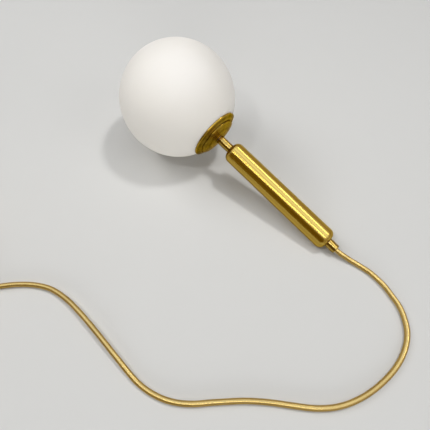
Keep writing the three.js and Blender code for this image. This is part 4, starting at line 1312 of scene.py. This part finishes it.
SLOT_FINISHES: dict[str, Finish] = {
    finish.name: finish
    for finish in (
        OPAL, SATIN, POLISHED_SHADE_DARKENED, PLAIN_BRASS, ZINC, GOLD_WEAVE, SILICONE, NYLON, CERAMIC, BRONZE, COVER, BOARD,
        BROWN, BLUE, GREEN,
    )
}


# The lamp


@dataclass
class SubAssembly:
    """A group of pieces that share a shelf of materials."""

    shelf: Shelf
    size: LampSizes = LAMP

    def seat(self, piece: Piece, body: str, node: str, slot: str, finish: Finish) -> Piece:
        """Dress a piece, let it ride on its body and stand for its node.

        Args:
            piece: The piece.
            body: The body that it moves with.
            node: The node that it replaces.
            slot: The name of its material slot; not used.
            finish: Its look.

        Returns:
            The piece.
        """
        self.shelf.dress(piece, finish)
        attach(piece, body)
        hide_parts(node)
        log.info("%s replaces %s on %s", piece.name, node, body)
        return piece


@dataclass
class GlassGlobe(SubAssembly):
    """The opal globe with its rolled lip and its neck."""

    foot_share: float = 0.4
    outer_steps: int = 110
    lip_steps: int = 14
    inner_steps: int = 70
    sides: int = 160

    def build(self) -> None:
        """Blow the globe: outside, lip, bore and inside in one outline."""
        size = self.size
        bottom, lip = -math.pi / 2.0, math.pi / 2.0 - size.lip_angle
        inside = size.globe - size.glass
        foot = size.lip[1] - size.neck_depth
        neck = rounded([
            (size.neck, size.lip[1], 0.0),
            (size.neck, foot, size.glass * self.foot_share),
            (size.lip[0], foot, size.glass * self.foot_share),
            (size.lip[0], size.lip[1] - size.glass, 0.0),
        ], closed=False)
        outline = [
            (0.0, -size.globe),
            *arc((0.0, 0.0), size.globe, bottom, lip, self.outer_steps)[1:],
            *arc(size.lip, size.glass, lip, math.pi, self.lip_steps)[1:],
            *neck[1:-1],
            *arc((0.0, 0.0), inside, lip, bottom, self.inner_steps)[:-1],
            (0.0, -inside),
        ]
        globe = turned("globe_glass", outline, size.place, closed=False, sides=self.sides)
        self.seat(globe, "globe", "glass_globe", "opal_glass", OPAL)


@dataclass
class Gallery(SubAssembly):
    """The dished plate over the glass and the shallow cap on it."""

    roll_share: float = 0.34
    roll_room: float = 1.6
    roll_steps: int = 8
    plate_steps: int = 18
    rim_steps: int = 10
    cap_edge_share: float = 0.35
    cap_rim_share: float = 0.5
    dome_steps: int = 30
    under_steps: int = 20

    def build(self) -> None:
        """Spin the plate and the cap."""
        self.plate()
        self.cap()

    def plate(self) -> None:
        """Spin the plate, with a rolled rim and a groove round the cap."""
        size = self.size
        middle = (0.0, 0.0)
        inner, outer = size.plate_inner, size.plate_outer
        room = size.neck + size.gap + size.gasket_width + size.gap
        low, high = size.web
        rim, rim_under = math.acos(size.plate / outer), math.acos(size.plate / inner)
        land = size.cap + size.groove_land
        groove_in, groove_out = math.acos(land / outer), math.acos((land + size.groove) / outer)
        floor = outer - size.groove_depth
        curve = [
            (size.rod, high),
            *arc(middle, outer, math.asin(high / outer), groove_in, self.plate_steps),
            (floor * math.cos(groove_in), floor * math.sin(groove_in)),
            (floor * math.cos(groove_out), floor * math.sin(groove_out)),
            *arc(middle, outer, groove_out, rim, self.rim_steps)[:-1],
        ]
        under = [*arc(middle, inner, rim_under, math.acos(room / inner), self.plate_steps)[1:], (room, low)]
        roll = size.plate_thickness * self.roll_share
        clear = size.plate - roll * self.roll_room
        corners: list[Triple] = [(size.rod, low, 0.0)]
        corners.extend((*point, 0.0) for point in curve if point[0] < clear)
        corners.append((size.plate, outer * math.sin(rim), roll))
        corners.append((size.plate, inner * math.sin(rim_under), roll))
        corners.extend((*point, 0.0) for point in under if point[0] < clear)
        plate = turned("plate_brass", rounded(corners, steps=self.roll_steps), size.place)
        self.seat(plate, "pendant", "gallery_plate", "satin_brass", DISC_BRASS)

    def cap(self) -> None:
        """Spin the cap, a shallow dome with a short rim."""
        size = self.size
        middle = (0.0, size.cap_centre)
        over, under = size.cap_curve, size.cap_curve - size.cap_wall
        rim = size.cap - size.cap_wall
        soft = size.cap_wall * self.cap_edge_share
        dome = arc(middle, over, math.acos(size.cap / over), math.acos(size.cap_land / over), self.dome_steps)
        land = math.acos(size.cap_land / under)
        inner = arc(middle, under, land, math.acos(rim / under), self.under_steps)
        corners: list[Triple] = [(rim, size.cap_low, soft), (size.cap, size.cap_low, soft)]
        corners.append((*dome[0], size.cap_rim * self.cap_rim_share))
        corners.extend((*point, 0.0) for point in dome[1:])
        corners.append((size.rod, size.cap_top, 0.0))
        corners.append((size.rod, inner[0][1], 0.0))
        corners.extend((*point, 0.0) for point in inner)
        cap = turned("cap_brass", rounded(corners), size.place)
        self.seat(cap, "pendant", "cap_dome", "satin_brass", DISC_BRASS)


@dataclass
class Tubes(SubAssembly):
    """The slim stem and the long tube."""

    edge: float = 0.2 * MM
    shoulder_steps: int = 18

    def build(self) -> None:
        """Turn the stem and the tube."""
        size = self.size
        stem = turned("stem_brass", rounded([
            (size.rod, size.stem_low, 0.0),
            (size.stem, size.stem_low, self.edge),
            (size.stem, size.stem_high, self.edge),
            (size.rod, size.stem_high, 0.0),
        ]), size.place)
        self.seat(stem, "pendant", "stem_tube", "polished_brass", POLISHED_SHADE_DARKENED)
        low, high, end = size.body_low, size.body_high, size.body_end
        inside = size.body - size.body_wall
        inner = size.shoulder - end
        body = turned("body_brass", rounded([
            (size.rod, low, self.edge),
            (size.body, low, size.shoulder),
            (size.body, high, size.shoulder),
            (size.rod, high, self.edge),
            (size.rod, high - end, 0.0),
            (inside, high - end, inner),
            (inside, low + end, inner),
            (size.rod, low + end, 0.0),
        ], steps=self.shoulder_steps), size.place)
        self.seat(body, "pendant", "body_tube", "satin_brass", SATIN)


@dataclass(kw_only=True)
class CordGrip(SubAssembly):
    """A round grip that clamps the cord with a set screw, at one place."""

    name: str
    node: str
    body: str
    low: float
    place: Matrix
    finish: Finish
    foot: float = 0.25 * MM
    edge: float = 0.8 * MM
    mouth: float = 0.45 * MM
    screw_play: float = 0.3 * MM
    drill_share: float = 1.3
    sides: int = 96

    def build(self) -> Piece:
        """Turn the grip and drill it for its set screw.

        Returns:
            The grip.
        """
        size = self.size
        high = self.low + size.gland_length
        inner = size.cord + size.cord_play
        liner = inner + size.sleeve + size.gap
        step = self.low + size.gland_seat
        shelf = high - size.gland_mouth
        grip = turned(self.name, rounded([
            (size.rod, self.low, 0.0),
            (size.gland, self.low, self.foot),
            (size.gland, high, self.edge),
            (inner, high, self.mouth),
            (inner, shelf, 0.0),
            (liner, shelf, 0.0),
            (liner, step, 0.0),
            (size.rod, step, 0.0),
        ]), self.place, sides=self.sides)
        start = self.place @ Vector((0.0, size.cord, (step + shelf) / 2.0))
        end = self.place @ Vector((0.0, size.gland * self.drill_share, (step + shelf) / 2.0))
        drill(grip, start, end, size.set_screw + self.screw_play)
        return self.seat(grip, self.body, self.node, "polished_brass", self.finish)


# The cord


def through(points: Sequence[Vector], steps: int) -> list[Vector]:
    """Lay a smooth line through points, slower where they lie close.

    Args:
        points: The points that it passes.
        steps: How many pieces each span has.

    Returns:
        The line's points.
    """
    padded = [points[0] * 2.0 - points[1], *points, points[-1] * 2.0 - points[-2]]
    line: list[Vector] = []
    for at in range(1, len(padded) - 2):
        before, start, end, after = padded[at - 1: at + 3]
        first = math.sqrt((start - before).length)
        middle = math.sqrt((end - start).length)
        last = math.sqrt((after - end).length)
        leave = (start - before) / first - (end - before) / (first + middle) + (end - start) / middle
        arrive = (end - start) / middle - (after - start) / (middle + last) + (after - end) / last
        leave, arrive = leave * middle, arrive * middle
        for step in range(steps):
            t = step / steps
            bend = 3.0 * (end - start) - 2.0 * leave - arrive
            twist = 2.0 * (start - end) + leave + arrive
            line.append(start + leave * t + bend * t * t + twist * t * t * t)
    line.append(padded[-2].copy())
    return line


def evenly(line: Sequence[Vector], spacing: float) -> list[Vector]:
    """Set points at even distances along a line.

    Args:
        line: The line's points.
        spacing: The distance that is wanted.

    Returns:
        The new points, from the first to the last of the old.
    """
    lengths = lengths_along(line)
    count = max(2, round(lengths[-1] / spacing))
    even: list[Vector] = []
    at = 0
    for step in range(count + 1):
        wanted = lengths[-1] * step / count
        while at < len(line) - 2 and lengths[at + 1] < wanted:
            at += 1
        part = (wanted - lengths[at]) / max(SAME_POINT, lengths[at + 1] - lengths[at])
        even.append(line[at].lerp(line[at + 1], min(1.0, max(0.0, part))))
    return even


@dataclass
class FreeCord(SubAssembly):
    """The woven cord from the lamp's grip, through its coil, to the ceiling rose."""

    spacing: float = 2.2 * MM
    sides: int = 20
    run_steps: int = 10
    coil_steps: int = 240
    tail_steps: int = 8

    def centre_line(self) -> list[Vector]:
        """Trace the cord's whole route: its run, its coil and its tail.

        Returns:
            The points of its centre line.
        """
        size = self.size
        mouth = size.gland_high
        run = [size.on_axis(mouth - size.gland_mouth / 2.0 + size.gap), size.on_axis(mouth + size.cord)]
        run.extend(Vector(point) * MM for point in RUN_ROUTE)
        run.append(COIL.point(0.0))
        coil = [COIL.point(step / self.coil_steps) for step in range(self.coil_steps + 1)]
        tail = [Vector((along * MM, ROSE.place_at[1], height * MM)) for along, height in TAIL_ROUTE]
        line = through(run, self.run_steps)[:-1] + coil + through(tail, self.tail_steps)
        return evenly(line, self.spacing)

    def build(self, with_pieces: Sequence[Piece]) -> None:
        """Args:
            with_pieces: The pieces on it, its tie and its rose; not used.
        """
        line = self.centre_line()
        cord = swept("woven_cord", line, self.size.cord, self.sides)
        self.shelf.dress(cord, GOLD_WEAVE)
        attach(cord, "pendant")
        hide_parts("cord_run", "cord_coil", "cord_tail")
        length = lengths_along(line)[-1]
        tuple(LAMP.on_axis(LAMP.gland_high))
        log.info("cord of %.3f m in %d steps", length, len(line))


@dataclass
class CoilTie(SubAssembly):
    """A woven strap round the coil's bundle."""

    thickness: float = 0.6 * MM
    width: float = 7 * MM
    play: float = 0.35 * MM
    edge: float = 0.15 * MM
    edge_steps: int = 3
    corner_steps: int = 8
    at: float = math.radians(250.0)

    def build(self) -> Piece:
        """Wrap the strap round the bundle.

        Returns:
            The strap.
        """
        cord = self.size.cord
        inner, outer = COIL.inner - cord - self.play, COIL.outer + cord + self.play
        low, high = COIL.bottom - self.play, COIL.bottom + 2.0 * cord + COIL.rise + self.play
        way, up = Vector((math.cos(self.at), math.sin(self.at), 0.0)), Vector(UP)
        across = up.cross(way)
        centre = Vector((*COIL.centre, 0.0)) + way * (inner + outer) / 2.0 + up * (low + high) / 2.0
        loop = self.loop((outer - inner) / 2.0, (high - low) / 2.0, cord)
        section = rounded([
            (0.0, -self.width / 2.0, self.edge),
            (self.thickness, -self.width / 2.0, self.edge),
            (self.thickness, self.width / 2.0, self.edge),
            (0.0, self.width / 2.0, self.edge),
        ], steps=self.edge_steps)
        rings = []
        for point, outward in loop:
            ring = []
            for depth, side in section:
                flat = point + outward * depth
                ring.append(centre + way * flat.x + up * flat.y + across * side)
            rings.append(ring)
        along = lengths_along([point for point, _ in (*loop, loop[0])])
        around = [side / self.width + 0.5 for _, side in (*section, section[0])]
        strap = skinned("coil_strap", rings, along, around)
        return self.seat(strap, "pendant", "coil_tie", "white_nylon", STRAP)

    def loop(self, half: float, rise: float, corner: float) -> list[tuple[Vector, Vector]]:
        """Trace a rounded rectangle.

        Args:
            half: Half its width.
            rise: Half its height.
            corner: Its corner's radius.

        Returns:
            Its points, each with the direction outward.
        """
        traced: list[tuple[Vector, Vector]] = []
        for turn, (x, y) in enumerate(((1, 1), (-1, 1), (-1, -1), (1, -1))):
            centre = Vector((x * (half - corner), y * (rise - corner)))
            for step in range(self.corner_steps + 1):
                angle = math.pi / 2.0 * (turn + step / self.corner_steps)
                outward = Vector((math.cos(angle), math.sin(angle)))
                traced.append((centre + outward * corner, outward))
        return traced


@dataclass
class CeilingRose(SubAssembly):
    """The cup, its cap nuts, its studs and its hollow nipple."""

    rose: RoseSizes = ROSE
    edge_steps: int = 12
    dome_steps: int = 20
    nut_sides: int = 64

    def build(self) -> list[Piece]:
        """Turn the rose's pieces.

        Returns:
            The pieces.
        """
        made = [self.cup(), self.nipple()]
        for side in Side:
            made.append(self.stud(side))
            made.append(self.cap_nut(side))
        return made

    def cup(self) -> Piece:
        """Spin the cup and drill it for its studs.

        Returns:
            The cup.
        """
        size = self.rose
        inside = size.radius - size.wall
        face = size.height - size.wall
        cup = turned("rose_shell", rounded([
            (inside, 0.0, size.rim),
            (size.radius, 0.0, size.rim),
            (size.radius, size.height, size.edge),
            (self.size.rod, size.height, 0.0),
            (self.size.rod, face, 0.0),
            (inside, face, size.edge - size.wall),
        ], steps=self.edge_steps), size.place)
        for side in Side:
            start = size.beside(side) @ Vector((0.0, 0.0, face - size.wall))
            end = size.beside(side) @ Vector((0.0, 0.0, size.height + size.wall))
            drill(cup, start, end, size.stud + self.size.gap)
        return self.seat(cup, "rose_cover", "rose_cup", "satin_brass", ROSE_SATIN)

    def stud(self, side: Side) -> Piece:
        """Cut the thread of one stud.

        Args:
            side: Which stud.

        Returns:
            The stud.
        """
        name = side.name.lower()
        thread = Thread(self.rose.stud, self.rose.stud_pitch, self.size.gap, self.rose.stud_high)
        stud = thread.cut(f"stud_thread_{name}", self.rose.beside(side))
        return self.seat(stud, "pendant", f"rose_stud_{name}", "zinc_steel", ZINC)

    def cap_nut(self, side: Side) -> Piece:
        """Turn one cap nut, a dome on a short skirt over a blind hole.

        Args:
            side: Which nut.

        Returns:
            The nut.
        """
        size = self.rose
        name = side.name.lower()
        low, bore = size.height + self.size.gap, size.stud + self.size.gap
        skirt, dome = low + size.nut_skirt, size.nut_height - size.nut_skirt
        outline = [
            (0.0, low + size.nut_bore),
            (bore, low + size.nut_bore),
            (bore, low),
            (size.nut - size.nut_edge, low),
            (size.nut, low + size.nut_edge),
        ]
        for radius, height in arc((0.0, 0.0), 1.0, 0.0, math.pi / 2.0, self.dome_steps)[:-1]:
            outline.append((size.nut * radius, skirt + dome * height))
        outline.append((0.0, low + size.nut_height))
        nut = turned(f"cap_nut_{name}", outline, size.beside(side), closed=False, sides=self.nut_sides)
        return self.seat(nut, "rose_cover", f"rose_cap_nut_{name}", "polished_brass", POLISHED_SHADE_DARKENED)

    def nipple(self) -> Piece:
        """Cut the thread of the hollow nipple.

        Returns:
            The nipple.
        """
        size = self.rose
        high = size.grip_low + size.nipple_engaged
        radius = self.size.rod - self.size.gap
        thread = Thread(radius, size.nipple_pitch, high - size.nipple_length, high, size.nipple_bore)
        nipple = thread.cut("nipple_thread", size.place)
        return self.seat(nipple, "rose_cover", "rose_nipple", "zinc_steel", ZINC)


# The studio


@dataclass(frozen=True)
class Softbox:
    """One soft lamp, or a card that only metal mirrors, aimed at the object from a direction."""

    name: str
    azimuth: float
    elevation: float
    width: float
    height: float
    power: float
    card: bool = False
    distance: float = 2000 * MM
    aim: Triple = (50 * MM, -30 * MM, 30 * MM)

    def build(self) -> None:
        """Hang the soft lamp."""
        light = bpy.data.lights.new(self.name, "AREA")
        light.shape = "RECTANGLE"
        light.size = self.width
        light.size_y = self.height
        light.energy = self.power
        lamp = bpy.data.objects.new(self.name, light)
        flat, rise = math.radians(self.azimuth), math.radians(self.elevation)
        way = Vector((math.cos(flat) * math.cos(rise), math.sin(flat) * math.cos(rise), math.sin(rise)))
        lamp.location = Vector(self.aim) + way * self.distance
        lamp.rotation_euler = (-way).to_track_quat("-Z", "Y").to_euler()
        lamp.visible_glossy = self.card
        lamp.visible_diffuse = not self.card
        bpy.context.scene.collection.objects.link(lamp)


@dataclass
class Studio:
    """A pale table, soft lamps, an even surround and the camera."""

    shelf: Shelf
    camera_place: Triple = (208.98 * MM, -254.3 * MM, 460.2 * MM)
    look: Triple = (-0.3418, 0.3615, -0.8675)
    up: Triple = (-0.5959, 0.6304, 0.4975)
    focal_px: float = 405.1
    frame_px: int = 430
    sensor: float = 36.0
    near: float = 10 * MM
    far: float = 20000 * MM
    table_reach: float = 3000 * MM
    table_drop: float = 0.1 * MM
    ambient: Colour = (0.11, 0.1089, 0.1067)
    backdrop: Colour = (0.65, 0.65, 0.637)
    seen_high: Colour = (1.45, 1.6, 2.3)
    seen_low: Colour = (0.55, 0.48, 0.42)
    seen_dark: Colour = (0.23, 0.155, 0.015)
    high_between: Pair = (0.45, 0.85)
    dark_between: Pair = (0.66, 0.86)
    dark_side: Triple = (0.12, -0.93, 0.34)
    softboxes: tuple[Softbox, ...] = (
        Softbox("ceiling", 0.0, 88.0, 1.4, 1.4, 9.2, distance=2200 * MM),
        Softbox("key", 72.0, 69.0, 0.22, 0.22, 12.0),
        Softbox("counter", -105.0, 62.0, 0.2, 0.2, 4.6),
        Softbox("west", 194.0, 45.0, 1.0, 0.9, 12.5),
        Softbox("east", 20.0, 40.0, 1.0, 1.0, 4.5),
        Softbox("front", -48.0, 12.0, 1.2, 0.6, 13.0),
        Softbox("strip_high", 71.0, 52.5, 1.6, 0.13, 6.0, card=True),
        Softbox("strip_low", -58.7, 64.8, 1.6, 0.13, 6.0, card=True),
    )

    def build(self) -> None:
        """Set up the whole studio."""
        bpy.context.scene.view_settings.view_transform = "Standard"
        self.camera()
        self.table()
        self.world()
        for softbox in self.softboxes:
            softbox.build()

    def camera(self) -> None:
        """Stand the camera where the photograph was taken from."""
        eye = bpy.data.cameras.new("camera")
        eye.sensor_width = self.sensor
        eye.lens = self.focal_px / self.frame_px * self.sensor
        eye.clip_start = self.near
        eye.clip_end = self.far
        back = -Vector(self.look).normalized()
        right = Vector(self.up).cross(back).normalized()
        stand = Matrix((right, back.cross(right), back)).transposed().to_4x4()
        stand.translation = self.camera_place
        camera = bpy.data.objects.new("camera", eye)
        camera.matrix_world = stand
        bpy.context.scene.collection.objects.link(camera)
        bpy.context.scene.camera = camera

    def table(self) -> None:
        """Lay the table top just under the lamp."""
        corners: list[Vector] = []
        for x, y in ((-1, -1), (1, -1), (1, 1), (-1, 1)):
            corners.append(Vector((x * self.table_reach, y * self.table_reach, -self.table_drop)))
        top = new_piece("table", corners, [[0, 1, 2, 3]], [[(0.0, 0.0), (1.0, 0.0), (1.0, 1.0), (0.0, 1.0)]])
        self.shelf.dress(top, TABLE)

    def world(self) -> None:
        """Light the surround evenly, and let metal mirror a pale room with one dark side."""
        world = bpy.data.worlds.new("surround")
        world.use_nodes = True
        world.node_tree.nodes.clear()
        graph = Graph(world.node_tree)
        way = graph.vector("NORMALIZE", graph.node("ShaderNodeTexCoord").outputs["Generated"])
        toward = graph.vector("DOT_PRODUCT", way, tuple(Vector(self.dark_side).normalized()))
        risen = graph.span(graph.parts(way)[2], *self.high_between)
        pale = graph.tint(risen, self.seen_low, self.seen_high)
        room = graph.tint(graph.span(toward, *self.dark_between), pale, self.seen_dark)
        ray = graph.node("ShaderNodeLightPath").outputs
        lit = graph.tint(ray["Is Glossy Ray"], self.ambient, room)
        seen = graph.tint(ray["Is Camera Ray"], lit, self.backdrop)
        background = graph.node("ShaderNodeBackground", {"Color": seen})
        graph.node("ShaderNodeOutputWorld", {"Surface": background.outputs[0]})
        bpy.context.scene.world = world


def dress_nodes(shelf: Shelf) -> None:
    """Give each carried-over node the finish of its slot.

    Args:
        shelf: The shelf of materials.
    """
    slots = {entry["node"]: entry["material_slot"] for entry in frame["record"]["subparts"]}
    for name, node in frame["nodes"].items():
        finish = SLOT_FINISHES[slots[name]]
        shelf.dress(node, NYLON if isinstance(finish, WovenCover) else finish)
    log.info("dressed %d nodes", len(frame["nodes"]))


def main() -> None:
    """Build the studio, the cord and the lamp, in that order."""
    logging.basicConfig(level=logging.INFO, format="%(message)s")
    shelf = Shelf()
    Studio(shelf).build()
    dress_nodes(shelf)
    tie = CoilTie(shelf).build()
    rose = CeilingRose(shelf).build()
    grip = CordGrip(
        shelf, name="grip_rose", node="rose_grip", body="rose_cover", low=ROSE.grip_low, place=ROSE.place,
        finish=ROSE_SATIN,
    ).build()
    carried = (
        "rose_bracket", "rose_nipple_nut", "rose_grip_screw", "terminal_block", "terminal_block_screw",
        "rose_earth_screw", "tail_core_live", "tail_core_neutral", "tail_core_earth",
    )
    FreeCord(shelf).build([tie, *rose, grip, *(frame["nodes"][name] for name in carried)])
    GlassGlobe(shelf).build()
    Gallery(shelf).build()
    Tubes(shelf).build()
    CordGrip(
        shelf, name="grip_lamp", node="cord_gland", body="pendant", low=LAMP.gland_low, place=LAMP.place,
        finish=POLISHED_SHADE_DARKENED,
    ).build()


if __name__ == "__main__":
    main()
